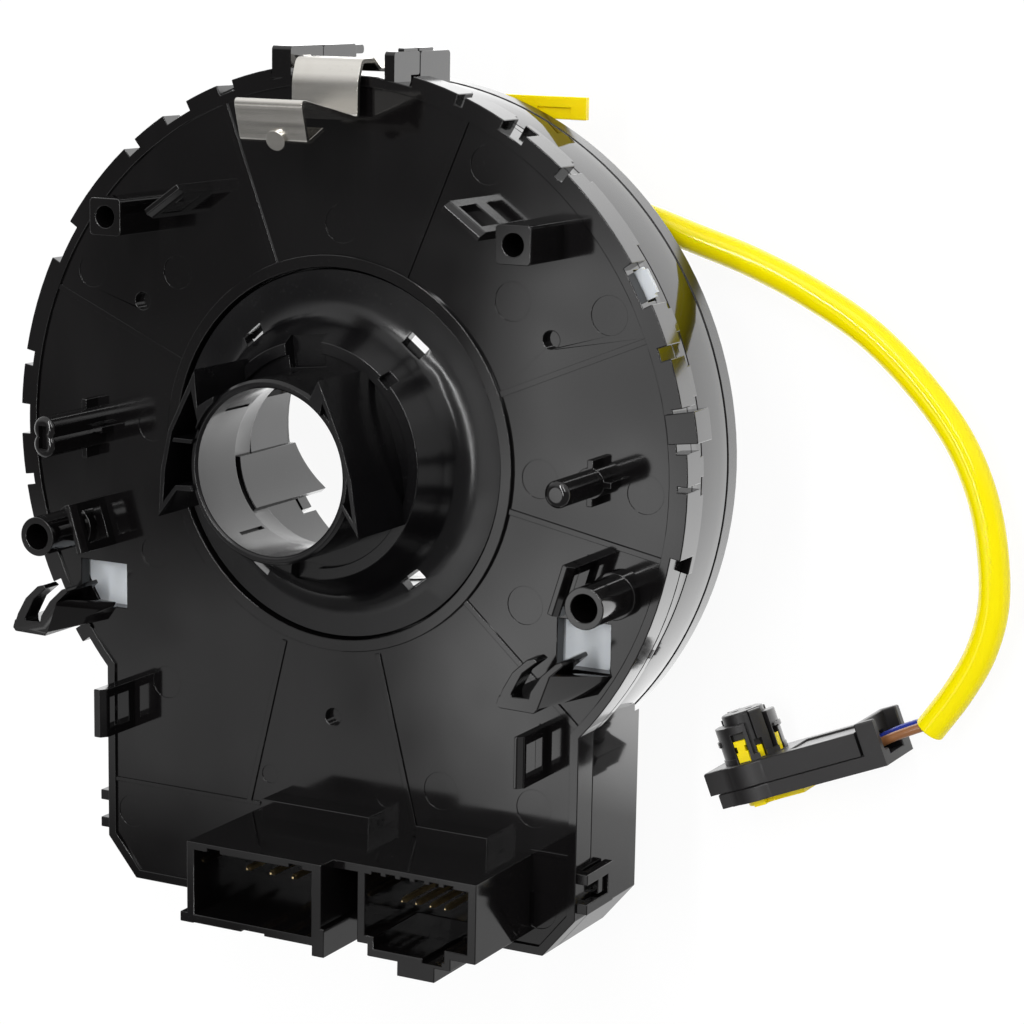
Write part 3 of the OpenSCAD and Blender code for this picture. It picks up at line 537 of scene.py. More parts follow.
@dataclass
class Table:
    """The table that the unit lies on: white to the eye and in mirrors, and clear from behind and to shadows.

    Attributes:
        y: Its plane.
        half: Its half width.
        white: Its own level.
        lit: Its share of the light that falls on it, which shows the unit's shadow.
        paper: Its share of the light that it gives back to the unit.
        gleam: How much more of it mirrors show beside the drum.
        reach: How far from the axis that goes.
        fade: Where it fades, as shares of that reach.
        gleam_z: Heights between which it comes up.
        shade: How much less mirrors show below the drum.
        shade_z: Heights between which that fades.
    """

    y: float = 32.05 * MM
    half: float = 2.5
    white: float = 0.93
    lit: float = 0.08
    paper: float = 0.93
    gleam: float = 1.5
    reach: float = 0.078
    fade: Ends = (0.88, 1.06)
    gleam_z: Ends = (-0.055, -0.04)
    shade: float = 0.38
    shade_z: Ends = (-0.065, -0.045)

    def mirrored_level(self, bench: NodeBench) -> Socket:
        """Adds what mirrors show beyond the table's own level.

        Args:
            bench: The table's nodes.

        Returns:
            The level's socket, above 0 beside the drum and below 0 under it.
        """
        parts = bench.axes(bench.place())
        squares = (bench.math("POWER", parts[axis], 2.0) for axis in ("X", "Z"))
        limits = tuple((self.reach * share) ** 2 for share in self.fade)
        near = bench.ramp(bench.math("ADD", *squares), limits, (self.gleam, 0.0))
        high = bench.ramp(parts["Z"], self.gleam_z, (0.0, 1.0))
        low = bench.ramp(parts["Z"], self.shade_z, (-self.shade, 0.0))
        return bench.math("ADD", bench.math("MULTIPLY", near, high), low)

    def lay(self) -> None:
        """Puts the table in the scene."""
        cover, bench = blank_material("table_paper")
        ray = bench.node("ShaderNodeLightPath").outputs
        more = bench.math("MULTIPLY", self.mirrored_level(bench), ray["Is Glossy Ray"])
        white = bench.shader("ShaderNodeEmission", {"Strength": bench.math("ADD", more, self.white)})
        given = bench.shader("ShaderNodeBsdfDiffuse", {"Color": grey(self.paper)})
        faint = bench.shader("ShaderNodeBsdfDiffuse", {"Color": grey(self.lit)})
        shown = bench.node("ShaderNodeAddShader")
        bench.feed(faint, shown.inputs[0])
        bench.feed(white, shown.inputs[1])
        mirrors = bench.math("MAXIMUM", ray["Is Glossy Ray"], ray["Is Transmission Ray"])
        seen = bench.blend(bench.math("MAXIMUM", ray["Is Camera Ray"], mirrors), given, shown.outputs[0])
        behind = bench.node("ShaderNodeNewGeometry").outputs["Backfacing"]
        clear = bench.shader("ShaderNodeBsdfTransparent", {})
        open_to = bench.math("MAXIMUM", behind, ray["Is Shadow Ray"])
        bench.fed("ShaderNodeOutputMaterial", {"Surface": bench.blend(open_to, seen, clear)})
        h, y = self.half, self.y
        add_panel("table", [(-h, y, -h), (h, y, -h), (h, y, h), (-h, y, h)], cover)


@dataclass
class Studio:
    """The white room with its table, its card and its lamps.

    Attributes:
        level: Strength of the room's even light.
        dark: Level that mirrors show of the room behind the camera.
        bright: Level that they show of its ceiling.
        ahead: Parts of the way along Y between which the room turns white in mirrors.
        above: Parts of the way up between which it turns bright.
        lamps: The lamps.
    """

    level: float = 0.47
    dark: float = 0.22
    bright: float = 1.1
    ahead: Ends = (-0.25, 0.05)
    above: Ends = (0.16, 0.5)
    lamps: list[SoftBox] = field(
        default_factory=lambda: [
            SoftBox("strip_lamp", (0.46, -0.92, 0.5), (0.11, 0.6), 2.8, turn=20.0),
            SoftBox("long_strip", (-0.04, -0.85, 0.25), (0.05, 0.9), 4.2),
            SoftBox("top_softbox", (0.3, -0.8, 1.1), (0.6, 0.6), 2.0),
            SoftBox("wheel_side_softbox", (-0.5, 1.3, 0.7), (0.8, 0.8), 9.0),
        ]
    )

    def light_room(self) -> None:
        """Lights the room evenly, and shows it white but for the dim part behind the camera in mirrors."""
        world = bpy.data.worlds.new("white_room")
        bpy.context.scene.world = world
        world.use_nodes = True
        world.node_tree.nodes.clear()
        bench = NodeBench(world.node_tree)
        way = bench.axes(bench.node("ShaderNodeTexCoord").outputs["Generated"])
        ahead = bench.ramp(way["Y"], self.ahead, (self.dark, 1.0))
        above = bench.ramp(way["Z"], self.above, (self.dark, self.bright))
        even, mirrored, white = (
            bench.shader("ShaderNodeBackground", {"Color": grey(1.0), "Strength": strength})
            for strength in (self.level, bench.math("MAXIMUM", ahead, above), 1.0)
        )
        ray = bench.node("ShaderNodeLightPath").outputs
        lit = bench.blend(ray["Is Glossy Ray"], even, mirrored)
        eye = bench.math("MAXIMUM", ray["Is Camera Ray"], ray["Is Transmission Ray"])
        bench.fed("ShaderNodeOutputWorld", {"Surface": bench.blend(eye, lit, white)})

    def set_up(self) -> None:
        """Builds the whole studio."""
        Table().lay()
        self.light_room()
        MirrorCard().hang()
        for lamp in self.lamps:
            lamp.hang()
        bpy.context.scene.view_settings.view_transform = "Standard"


# Finishes


class ShaderGroups:
    """The shader node groups that more than one finish uses, each built once."""

    def __init__(self) -> None:
        """Builds the groups."""
        self.skin = self.moulded_skin()
        self.marks = self.handling_marks()

    @staticmethod
    def new_group(
        name: str, takes: dict[str, float], gives: dict[str, str]
    ) -> tuple[NodeBench, Sockets, Sockets]:
        """Starts a group.

        Args:
            name: The group's name.
            takes: Names and defaults of its number inputs.
            gives: Names and socket types of its outputs.

        Returns:
            The group's bench, its inputs and its outputs.
        """
        tree = bpy.data.node_groups.new(name, "ShaderNodeTree")
        for label, default in takes.items():
            made = tree.interface.new_socket(label, in_out="INPUT", socket_type="NodeSocketFloat")
            made.default_value = default
        for label, kind in gives.items():
            tree.interface.new_socket(label, in_out="OUTPUT", socket_type=kind)
        bench = NodeBench(tree)
        return bench, bench.node("NodeGroupInput").outputs, bench.node("NodeGroupOutput").inputs

    def moulded_skin(self) -> bpy.types.NodeTree:
        """Builds the surface of a moulding: slow waves where the melt shrank, and a fine grain.

        Returns:
            The group's tree.
        """
        bench, takes, gives = self.new_group(
            "moulded_skin",
            {"Wave Scale": 80.0, "Wave Height": 1e-5, "Grain Scale": 3000.0, "Grain Height": 1e-6},
            {"Normal": "NodeSocketVector", "Variation": "NodeSocketFloat"},
        )
        where = bench.place()
        wave = bench.noise(where, takes["Wave Scale"], detail=1.0)
        grain = bench.noise(where, takes["Grain Scale"], detail=2.0)
        heights = (
            bench.math("MULTIPLY", wave, takes["Wave Height"]),
            bench.math("MULTIPLY", grain, takes["Grain Height"]),
        )
        bench.feed(bench.bump(bench.math("ADD", *heights)), gives["Normal"])
        bench.feed(wave, gives["Variation"])
        return bench.tree

    def handling_marks(self) -> bpy.types.NodeTree:
        """Builds faint rub marks, drawn out along Z, and dust: a mask that is 1 on a mark.

        Returns:
            The group's tree.
        """
        drawn_out, rub_detail, rub_ends = (1.0, 1.0, 0.25), 6.0, (0.52, 0.72)
        dust_scale, dust_ends = 2600.0, (0.74, 0.8)
        bench, takes, gives = self.new_group(
            "handling_marks", {"Amount": 0.3, "Mark Scale": 60.0}, {"Mask": "NodeSocketFloat"}
        )
        where = bench.place()
        long = bench.fed("ShaderNodeMapping", {"Vector": where, "Scale": drawn_out}).outputs[0]
        rubs = bench.ramp(bench.noise(long, takes["Mark Scale"], rub_detail), rub_ends, (0.0, 1.0))
        dust = bench.ramp(bench.noise(where, dust_scale, detail=0.0), dust_ends, (0.0, 1.0))
        both = bench.math("MAXIMUM", rubs, dust)
        bench.feed(bench.math("MULTIPLY", both, takes["Amount"]), gives["Mask"])
        return bench.tree


@dataclass(frozen=True)
class MouldedPlastic:
    """An injection moulded plastic.

    Attributes:
        name: The material's name.
        colour: Its own colour, linear.
        worn: Its colour where it was handled.
        rough: Roughness where it is smoothest and where it is dullest.
        wave: Height and scale of its slow waves.
        grain: Height and scale of its fine grain.
        marks: How strong the handling marks are.
        dulled: How much rougher a full mark is.
        glow: How much light wanders inside it, 0 for black plastic.
        wander: How far the red, green and blue light wanders, as shares of the depth.
        depth: The farthest that light wanders.
        specular: How strongly its surface mirrors.
    """

    name: str
    colour: Colour
    worn: Colour
    rough: Ends = (0.1, 0.16)
    wave: tuple[float, float] = (9e-6, 90.0)
    grain: tuple[float, float] = (3e-7, 2500.0)
    marks: float = 0.25
    dulled: float = 0.12
    glow: float = 0.0
    wander: Point = (1.0, 0.8, 0.5)
    depth: float = 1.2 * MM
    specular: float = 0.5

    def material(self, groups: ShaderGroups) -> bpy.types.Material:
        """Builds the material.

        Args:
            groups: The shared shader groups.

        Returns:
            The material.
        """
        made, bench, shader = surface_material(self.name)
        (wave_height, wave_scale), (grain_height, grain_scale) = self.wave, self.grain
        skin = bench.group(
            groups.skin,
            {
                "Wave Height": wave_height,
                "Wave Scale": wave_scale,
                "Grain Height": grain_height,
                "Grain Scale": grain_scale,
            },
        )
        mark = bench.group(groups.marks, {"Amount": self.marks})["Mask"]
        smooth = bench.ramp(skin["Variation"], NOISE_ENDS, self.rough)
        dulled = bench.math("MULTIPLY", mark, self.dulled)
        bench.feed(bench.mix("RGBA", mark, (*self.colour, 1), (*self.worn, 1)), shader["Base Color"])
        bench.feed(bench.math("ADD", smooth, dulled), shader["Roughness"])
        bench.feed(skin["Normal"], shader["Normal"])
        shader["Specular IOR Level"].default_value = self.specular
        if self.glow:
            shader["Subsurface Weight"].default_value = self.glow
            shader["Subsurface Radius"].default_value = self.wander
            shader["Subsurface Scale"].default_value = self.depth
        return made


@dataclass(frozen=True)
class SheetMetal:
    """Thin plated metal, with fine lines from rolling.

    Attributes:
        name: The material's name.
        colour: Its colour, linear.
        tarnish: Its colour in the dull patches.
        rough: Roughness where it is brightest and where it is dullest.
        lines: Direction scales of the rolling lines along X, Y and Z.
        relief: Height of those lines.
        marks: How strong the handling marks are.
        mark_scale: Scale of those marks.
    """

    name: str
    colour: Colour
    tarnish: Colour
    rough: Ends = (0.16, 0.34)
    lines: Point = (60.0, 2600.0, 2600.0)
    relief: float = 2.5e-6
    marks: float = 0.6
    mark_scale: float = 140.0

    def material(self, groups: ShaderGroups) -> bpy.types.Material:
        """Builds the material.

        Args:
            groups: The shared shader groups.

        Returns:
            The material.
        """
        made, bench, shader = surface_material(self.name)
        along = bench.fed("ShaderNodeMapping", {"Vector": bench.place(), "Scale": self.lines}).outputs[0]
        rolled = bench.noise(along, scale=1.0, detail=3.0)
        mark = bench.group(groups.marks, {"Amount": self.marks, "Mark Scale": self.mark_scale})["Mask"]
        bench.feed(bench.mix("RGBA", mark, (*self.colour, 1), (*self.tarnish, 1)), shader["Base Color"])
        bench.feed(bench.ramp(rolled, NOISE_ENDS, self.rough), shader["Roughness"])
        bench.feed(bench.bump(bench.math("MULTIPLY", rolled, self.relief)), shader["Normal"])
        shader["Metallic"].default_value = 1.0
        return made


@dataclass(frozen=True)
class RibbonFilm:
    """The flat cable: amber film over copper tracks that run along it.

    Attributes:
        name: The material's name.
        film: Colour between the tracks.
        copper: Colour over a track.
        tracks: Tracks per metre across the ribbon's width, which lies along Y.
        track_edge: Where a track ends, from its middle, as shares of the distance between two tracks.
        rough: Roughness of the clean film, and how much rougher a full mark is.
    """

    name: str = "ribbon_film"
    film: Colour = (0.62, 0.36, 0.13)
    copper: Colour = (0.5, 0.2, 0.07)
    tracks: float = 760.0
    track_edge: Ends = (0.26, 0.3)
    rough: tuple[float, float] = (0.22, 0.3)

    def material(self, groups: ShaderGroups) -> bpy.types.Material:
        """Builds the material.

        Args:
            groups: The shared shader groups.

        Returns:
            The material.
        """
        made, bench, shader = surface_material(self.name)
        phase = bench.math("FRACT", bench.math("MULTIPLY", bench.axes(bench.place())["Y"], self.tracks))
        off_middle = bench.math("ABSOLUTE", bench.math("SUBTRACT", phase, 0.5))
        on_track = bench.ramp(off_middle, self.track_edge, (1.0, 0.0))
        mark = bench.group(groups.marks, {})["Mask"]
        clean, dulled = self.rough
        bench.feed(bench.mix("RGBA", on_track, (*self.film, 1), (*self.copper, 1)), shader["Base Color"])
        bench.feed(bench.math("ADD", clean, bench.math("MULTIPLY", mark, dulled)), shader["Roughness"])
        return made


# The mouldings' black, and the same where hands have rubbed it
BLACK, RUBBED = (0.0035, 0.0031, 0.0033), (0.016, 0.015, 0.0155)
POLISHED = MouldedPlastic("polished_housing", BLACK, RUBBED, (0.04, 0.07), (1.6e-5, 60.0), marks=0.12)
FINISH_BOOK = {
    Slot.HOUSING: MouldedPlastic("black_housing", BLACK, RUBBED, (0.06, 0.12), (1.6e-5, 85.0), marks=0.2),
    Slot.ROTOR: MouldedPlastic(
        "black_rotor", (0.0034, 0.0032, 0.0036), RUBBED, (0.17, 0.25), (6e-6, 120.0), specular=0.36
    ),
    Slot.INNER: MouldedPlastic(
        "black_inner", (0.008, 0.008, 0.009), RUBBED, (0.3, 0.42), grain=(1.2e-6, 3000.0)
    ),
    Slot.FILM: MouldedPlastic(
        "white_film", (0.6, 0.63, 0.66), (0.5, 0.52, 0.54), (0.32, 0.45), (5e-6, 60.0), glow=0.05
    ),
    Slot.ACETAL: MouldedPlastic(
        "milky_acetal", (0.72, 0.73, 0.7), (0.6, 0.6, 0.56), (0.24, 0.34), glow=0.1
    ),
    Slot.STEEL: SheetMetal(
        "nickel_spring_steel",
        (0.64, 0.62, 0.58),
        (0.52, 0.49, 0.44),
        (0.17, 0.27),
        (30.0, 900.0, 900.0),
        relief=6e-7,
        marks=0.3,
    ),
    Slot.GOLD: SheetMetal(
        "gold_contact", (0.88, 0.68, 0.38), (0.6, 0.45, 0.24), (0.3, 0.42), (2600.0, 60.0, 2600.0)
    ),
    Slot.RIBBON: RibbonFilm(),
    Slot.SLEEVE: MouldedPlastic(
        "yellow_sleeve",
        (0.92, 0.78, 0.001),
        (0.84, 0.68, 0.003),
        (0.07, 0.1),
        (3e-6, 110.0),
        marks=0.02,
        glow=0.1,
        specular=0.26,
    ),
    Slot.YELLOW: MouldedPlastic(
        "yellow_moulding",
        (0.98, 0.74, 0.001),
        (0.88, 0.64, 0.004),
        (0.25, 0.35),
        marks=0.1,
        glow=0.25,
        specular=0.22,
    ),
    Slot.PLUG: MouldedPlastic(
        "black_plug", (0.012, 0.011, 0.0115), (0.03, 0.029, 0.03), (0.36, 0.5), grain=(2.6e-6, 2300.0)
    ),
    Slot.BROWN: MouldedPlastic(
        "brown_insulation", (0.27, 0.115, 0.045), (0.36, 0.2, 0.1), (0.26, 0.36), marks=0.2
    ),
    Slot.BLUE: MouldedPlastic(
        "blue_insulation", (0.02, 0.035, 0.28), (0.08, 0.1, 0.32), (0.26, 0.36), marks=0.2
    ),
}


class Finishes:
    """Every finish of the unit, made into materials once."""

    def __init__(self) -> None:
        """Builds the materials."""
        groups = ShaderGroups()
        self.polished = POLISHED.material(groups)
        self.materials = {slot: finish.material(groups) for slot, finish in FINISH_BOOK.items()}

    def dress(self, piece: bpy.types.Object, slot: Slot, polished: bool = False) -> None:
        """Gives a piece its finish and reports it with its slot.

        Args:
            piece: A mesh object.
            slot: The record's slot that it takes its finish from.
            polished: Whether its mould was polished.
        """
        piece.data.materials.clear()
        piece.data.materials.append(self.polished if polished else self.materials[slot])
        LOG.info("%s: %s, %d faces", piece.name, slot.value, len(piece.data.polygons))


# Mouldings with eased edges


@dataclass
class EdgeEaser:
    """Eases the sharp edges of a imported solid's copy, less where there is little room for it.

    Attributes:
        width: Width of the ease where there is room.
        segments: Steps in the ease.
        sharp: Edges over this angle are eased, in degrees.
        knife: Edges over this angle are left as they are.
        smooth: Edges up to this angle are shaded smooth once eased.
        flat: Faces that meet at less than this angle are joined.
        doubles: Corners that are nearer than this are merged.
        widest: Flat faces with more corners than this stay cut into triangles.
        share: Largest share of the room beside an edge that its ease takes.
        long_share: Largest share of an edge's length that its ease takes.
        least: Edges with less than this share of the full width are left sharp.
        mark_gap: Distance between the places where the room beside an edge is measured, in widths.
        most_marks: How many such places an edge has at most.
        beside: An edge is beside another where at least this share of the way to it leads sideways.
        kept: Shares of their ease that edges round folded faces keep, one for each time that they are eased.
    """

    width: float
    segments: int = 2
    sharp: float = 38.0
    knife: float = 125.0
    smooth: float = 48.0
    flat: float = 0.4
    doubles: float = 2e-6
    widest: int = 90
    share: float = 0.36
    long_share: float = 0.8
    least: float = 0.2
    mark_gap: float = 2.0
    most_marks: int = 40
    beside: float = 0.6
    kept: tuple[float, ...] = (0.5, 0.0, 0.0, 0.0)

    def merged(self, node: bpy.types.Object, name: str) -> bpy.types.Mesh:
        """Copies a solid's mesh with its doubles merged and its flat faces joined.

        Args:
            node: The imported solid.
            name: Name of the copy.

        Returns:
            The copy's mesh, with room for the solid's own material and one for the eased faces.
        """
        work = bmesh.new()
        work.from_mesh(node.data)
        bmesh.ops.remove_doubles(work, verts=work.verts, dist=self.doubles)
        limit = math.radians(self.flat)
        bmesh.ops.dissolve_limit(work, angle_limit=limit, verts=work.verts, edges=work.edges)
        wide = [face for face in work.faces if len(face.verts) > self.widest]
        bmesh.ops.triangulate(work, faces=wide)
        mesh = bpy.data.meshes.new(name)
        work.to_mesh(mesh)
        work.free()
        mesh.materials.append(None)
        mesh.materials.append(None)
        return mesh

    def room_beside(self, sharp: list[bmesh.types.BMEdge]) -> list[float]:
        """Measures the room beside each sharp edge, up to what its full ease needs.

        Args:
            sharp: The sharp edges.

        Returns:
            The distance from each of them to the nearest other one that runs beside it.
        """
        enough = self.width / self.share
        marks: list[tuple[Vector, int]] = []
        for index, edge in enumerate(sharp):
            a, b = (vert.co for vert in edge.verts)
            steps = max(1, min(self.most_marks, int((b - a).length / (self.width * self.mark_gap))))
            marks += [(a.lerp(b, (k + 0.5) / steps), index) for k in range(steps)]
        tree = kdtree.KDTree(len(marks))
        for k, (point, _) in enumerate(marks):
            tree.insert(point, k)
        tree.balance()
        room = [enough] * len(sharp)
        for point, index in marks:
            edge = sharp[index]
            along = (edge.verts[1].co - edge.verts[0].co).normalized()
            own = set(edge.verts)
            for other, k, gap in tree.find_range(point, enough):
                rival = sharp[marks[k][1]]
                if rival is edge or own & set(rival.verts):
                    continue
                step = other - point
                if gap > 0.0 and (step - along * step.dot(along)).length < self.beside * gap:
                    continue
                room[index] = min(room[index], gap)
        return room

    def weigh(self, mesh: bpy.types.Mesh) -> None:
        """Weighs each sharp outer edge by the room beside it, and numbers the faces.

        Args:
            mesh: The merged copy.
        """
        work = bmesh.new()
        work.from_mesh(mesh)
        number = work.faces.layers.int.new("source")
        for index, face in enumerate(work.faces):
            face[number] = index
        weight = work.edges.layers.float.new("bevel_weight_edge")
        limit, knife = math.radians(self.sharp), math.radians(self.knife)
        sharp = [e for e in work.edges if len(e.link_faces) == 2 and e.calc_face_angle(0.0) > limit]
        for edge, gap in zip(sharp, self.room_beside(sharp)):
            room = min(gap * self.share, edge.calc_length() * self.long_share)
            size = min(1.0, room / self.width)
            outer = 0.0 < edge.calc_face_angle_signed(0.0) < knife
            edge[weight] = size if outer and size > self.least else 0.0
        work.to_mesh(mesh)
        work.free()

    def ease(self, piece: bpy.types.Object) -> None:
        """Eases a piece's weighted edges and keeps the result as its mesh.

        Args:
            piece: The piece, whose eased faces get the second material.
        """
        ease = piece.modifiers.new("ease", "BEVEL")
        ease.limit_method = "WEIGHT"
        ease.width = self.width
        ease.segments = self.segments
        ease.use_clamp_overlap = False
        ease.material = 1
        mesh = plain_mesh(piece)
        piece.modifiers.clear()
        piece.data = mesh

    @staticmethod
    def folded(mesh: bpy.types.Mesh) -> set[int]:
        """Finds the solid's own faces that cross themselves once eased.

        Args:
            mesh: The eased mesh.

        Returns:
            The numbers of those faces.
        """
        tiny_area, turned, slack = 1e-11, 0.5, 0.0005
        mesh.calc_loop_triangles()
        numbers = mesh.attributes["source"].data
        covered = [0.0] * len(mesh.polygons)
        wrong = set()
        for triangle in mesh.loop_triangles:
            index = triangle.polygon_index
            if mesh.polygons[index].material_index:
                continue
            covered[index] += triangle.area
            if triangle.area > tiny_area and triangle.normal.dot(mesh.polygons[index].normal) < turned:
                wrong.add(index)
        for face in mesh.polygons:
            over = abs(covered[face.index] - face.area) > slack * face.area + tiny_area
            if over and not face.material_index:
                wrong.add(face.index)
        return {numbers[index].value for index in wrong}

    @staticmethod
    def relent(mesh: bpy.types.Mesh, folded: set[int], kept: float) -> None:
        """Cuts the ease of the edges round the folded faces.

        Args:
            mesh: The merged copy.
            folded: The numbers of the folded faces.
            kept: The share of their ease that the edges keep.
        """
        work = bmesh.new()
        work.from_mesh(mesh)
        weight = work.edges.layers.float["bevel_weight_edge"]
        number = work.faces.layers.int["source"]
        near = {vert for face in work.faces if face[number] in folded for vert in face.verts}
        for edge in work.edges:
            if near & set(edge.verts):
                edge[weight] *= kept
        work.to_mesh(mesh)
        work.free()

    @staticmethod
    def fans(vert: bmesh.types.BMVert) -> list[list[bmesh.types.BMLoop]]:
        """Sorts the face corners at a point into fans.

        Args:
            vert: The point.

        Returns:
            The fans, each a list of face corners that smooth edges join.
        """
        found = []
        left = set(vert.link_loops)
        while left:
            fan, queue = [], [left.pop()]
            while queue:
                loop = queue.pop()
                fan.append(loop)
                smooth = [edge for edge in (loop.edge, loop.link_loop_prev.edge) if edge.smooth]
                for other in (other for edge in smooth for other in edge.link_loops):
                    near = other if other.vert is vert else other.link_loop_next
                    if near in left:
                        left.discard(near)
                        queue.append(near)
            found.append(fan)
        return found

    def lead_normals(self, mesh: bpy.types.Mesh) -> None:
        """Lets the solid's own faces lead the shading at each corner, and the eased faces follow.

        Args:
            mesh: The eased mesh, whose eased faces have the second material.
        """
        work = bmesh.new()
        work.from_mesh(mesh)
        areas = {face: face.calc_area() / MM**2 for face in work.faces}
        order = {loop: k for k, loop in enumerate(loop for face in work.faces for loop in face.loops)}
        normals = [Vector((0, 0, 1))] * len(order)
        for fan in (fan for vert in work.verts for fan in self.fans(vert)):
            lead = [loop for loop in fan if loop.face.material_index == 0] or fan
            total = Vector()
            for loop in lead:
                total += loop.face.normal * loop.calc_angle() * areas[loop.face]
            for loop in fan:
                normals[order[loop]] = total.normalized() if total.length > 0 else loop.face.normal.copy()
        for face in work.faces:
            face.material_index = 0
        work.to_mesh(mesh)
        work.free()
        mesh.normals_split_custom_set(normals)

    def copy(self, node: bpy.types.Object, name: str) -> bpy.types.Object:
        """Makes the eased copy of a solid.

        Args:
            node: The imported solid.
            name: Name of the copy.

        Returns:
            The copy.
        """
        mesh = self.merged(node, name)
        self.weigh(mesh)
        piece = add_piece(name, mesh)
        for kept in self.kept:
            self.ease(piece)
            folded = self.folded(piece.data)
            if not folded:
                break
            LOG.info("%s: %d faces folded, eased less", name, len(folded))
            self.relent(mesh, folded, kept)
            piece.data = mesh
        else:
            self.ease(piece)
        shade_smooth_by_angle(piece.data, self.smooth)
        self.lead_normals(piece.data)
        return piece


@dataclass
class Moulding:
    """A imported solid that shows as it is, or as a copy with eased edges.

    Attributes:
        node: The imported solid.
        slot: Its finish.
        body: The body that a copy rides on.
        ease: Width of the ease on its edges, or 0 to show the solid itself.
        polished: Whether its mould was polished.
    """

    node: str
    slot: Slot
    body: Body
    ease: float = 0.0
    polished: bool = False

    def build(self, nodes: dict[str, bpy.types.Object], finishes: Finishes) -> None:
        """Dresses the solid, or makes its eased copy and dresses that.

        Args:
            nodes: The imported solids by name.
            finishes: The unit's finishes.
        """
        if not self.ease:
            finishes.dress(nodes[self.node], self.slot, self.polished)
            return
        copy = EdgeEaser(self.ease).copy(nodes[self.node], self.node + "_eased")
        finishes.dress(copy, self.slot, self.polished)
        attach(copy, self.body.value)
        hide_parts(self.node)


@dataclass
class DrumBand:
    """The smooth band of the drum's wall, which widens towards its wheel side and has a fine seam.

    Attributes:
        inner: The radius that it ends at inside the wall.
        outer: Its outer radius at its column side and where it is widest.
        reach: Its two ends along Y.
        widest_y: Where it reaches its largest radius.
        seam_y: Where the seam begins.
        seam_depth: How deep the seam is.
        seam_width: Width of the seam's floor.
        seam_slope: Width of the slope beyond it.
        corner: Size of the corner that is taken off its wheel side.
        start: Angle of its first section, in degrees from +X towards +Z.
        steps: Sections round the drum.
    """

    inner: float = 49.7 * MM
    outer: tuple[float, float] = (49.92 * MM, 50.57 * MM)
    reach: tuple[float, float] = (6.4 * MM, 16.94 * MM)
    widest_y: float = 14.6 * MM
    seam_y: float = 9.6 * MM
    seam_depth: float = 0.09 * MM
    seam_width: float = 0.1 * MM
    seam_slope: float = 0.06 * MM
    corner: float = 0.08 * MM
    start: float = -196.0
    steps: int = 240

    def section(self) -> list[tuple[float, float]]:
        """Works out the band's section.

        Returns:
            Its corners, as radii and places along Y.
        """
        (low, high), (near, far) = self.outer, self.reach
        middle = low + (high - low) * (self.seam_y - near) / (self.widest_y - near)
        seam_end = self.seam_y + self.seam_width
        return [
            (self.inner, near),
            (low, near),
            (middle - self.seam_depth, self.seam_y),
            (middle - self.seam_depth, seam_end),
            (middle, seam_end + self.seam_slope),
            (high, self.widest_y),
            (high, far - self.corner),
            (high - self.corner, far),
            (self.inner, far),
        ]

    def build(self, finishes: Finishes) -> None:
        """Sweeps the section round the drum and dresses it.

        Args:
            finishes: The unit's finishes.
        """
        loops = []
        for i in range(self.steps):
            a = math.radians(self.start + 360.0 * i / self.steps)
            loops.append([Vector((r * math.cos(a), y, r * math.sin(a))) for r, y in self.section()])
        band = add_piece("drum_band", swept_mesh("drum_band", loops, closed=True))
        finishes.dress(band, Slot.HOUSING, polished=True)
        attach(band, Body.HOUSING.value)


# Trees that repeat or sweep a shape


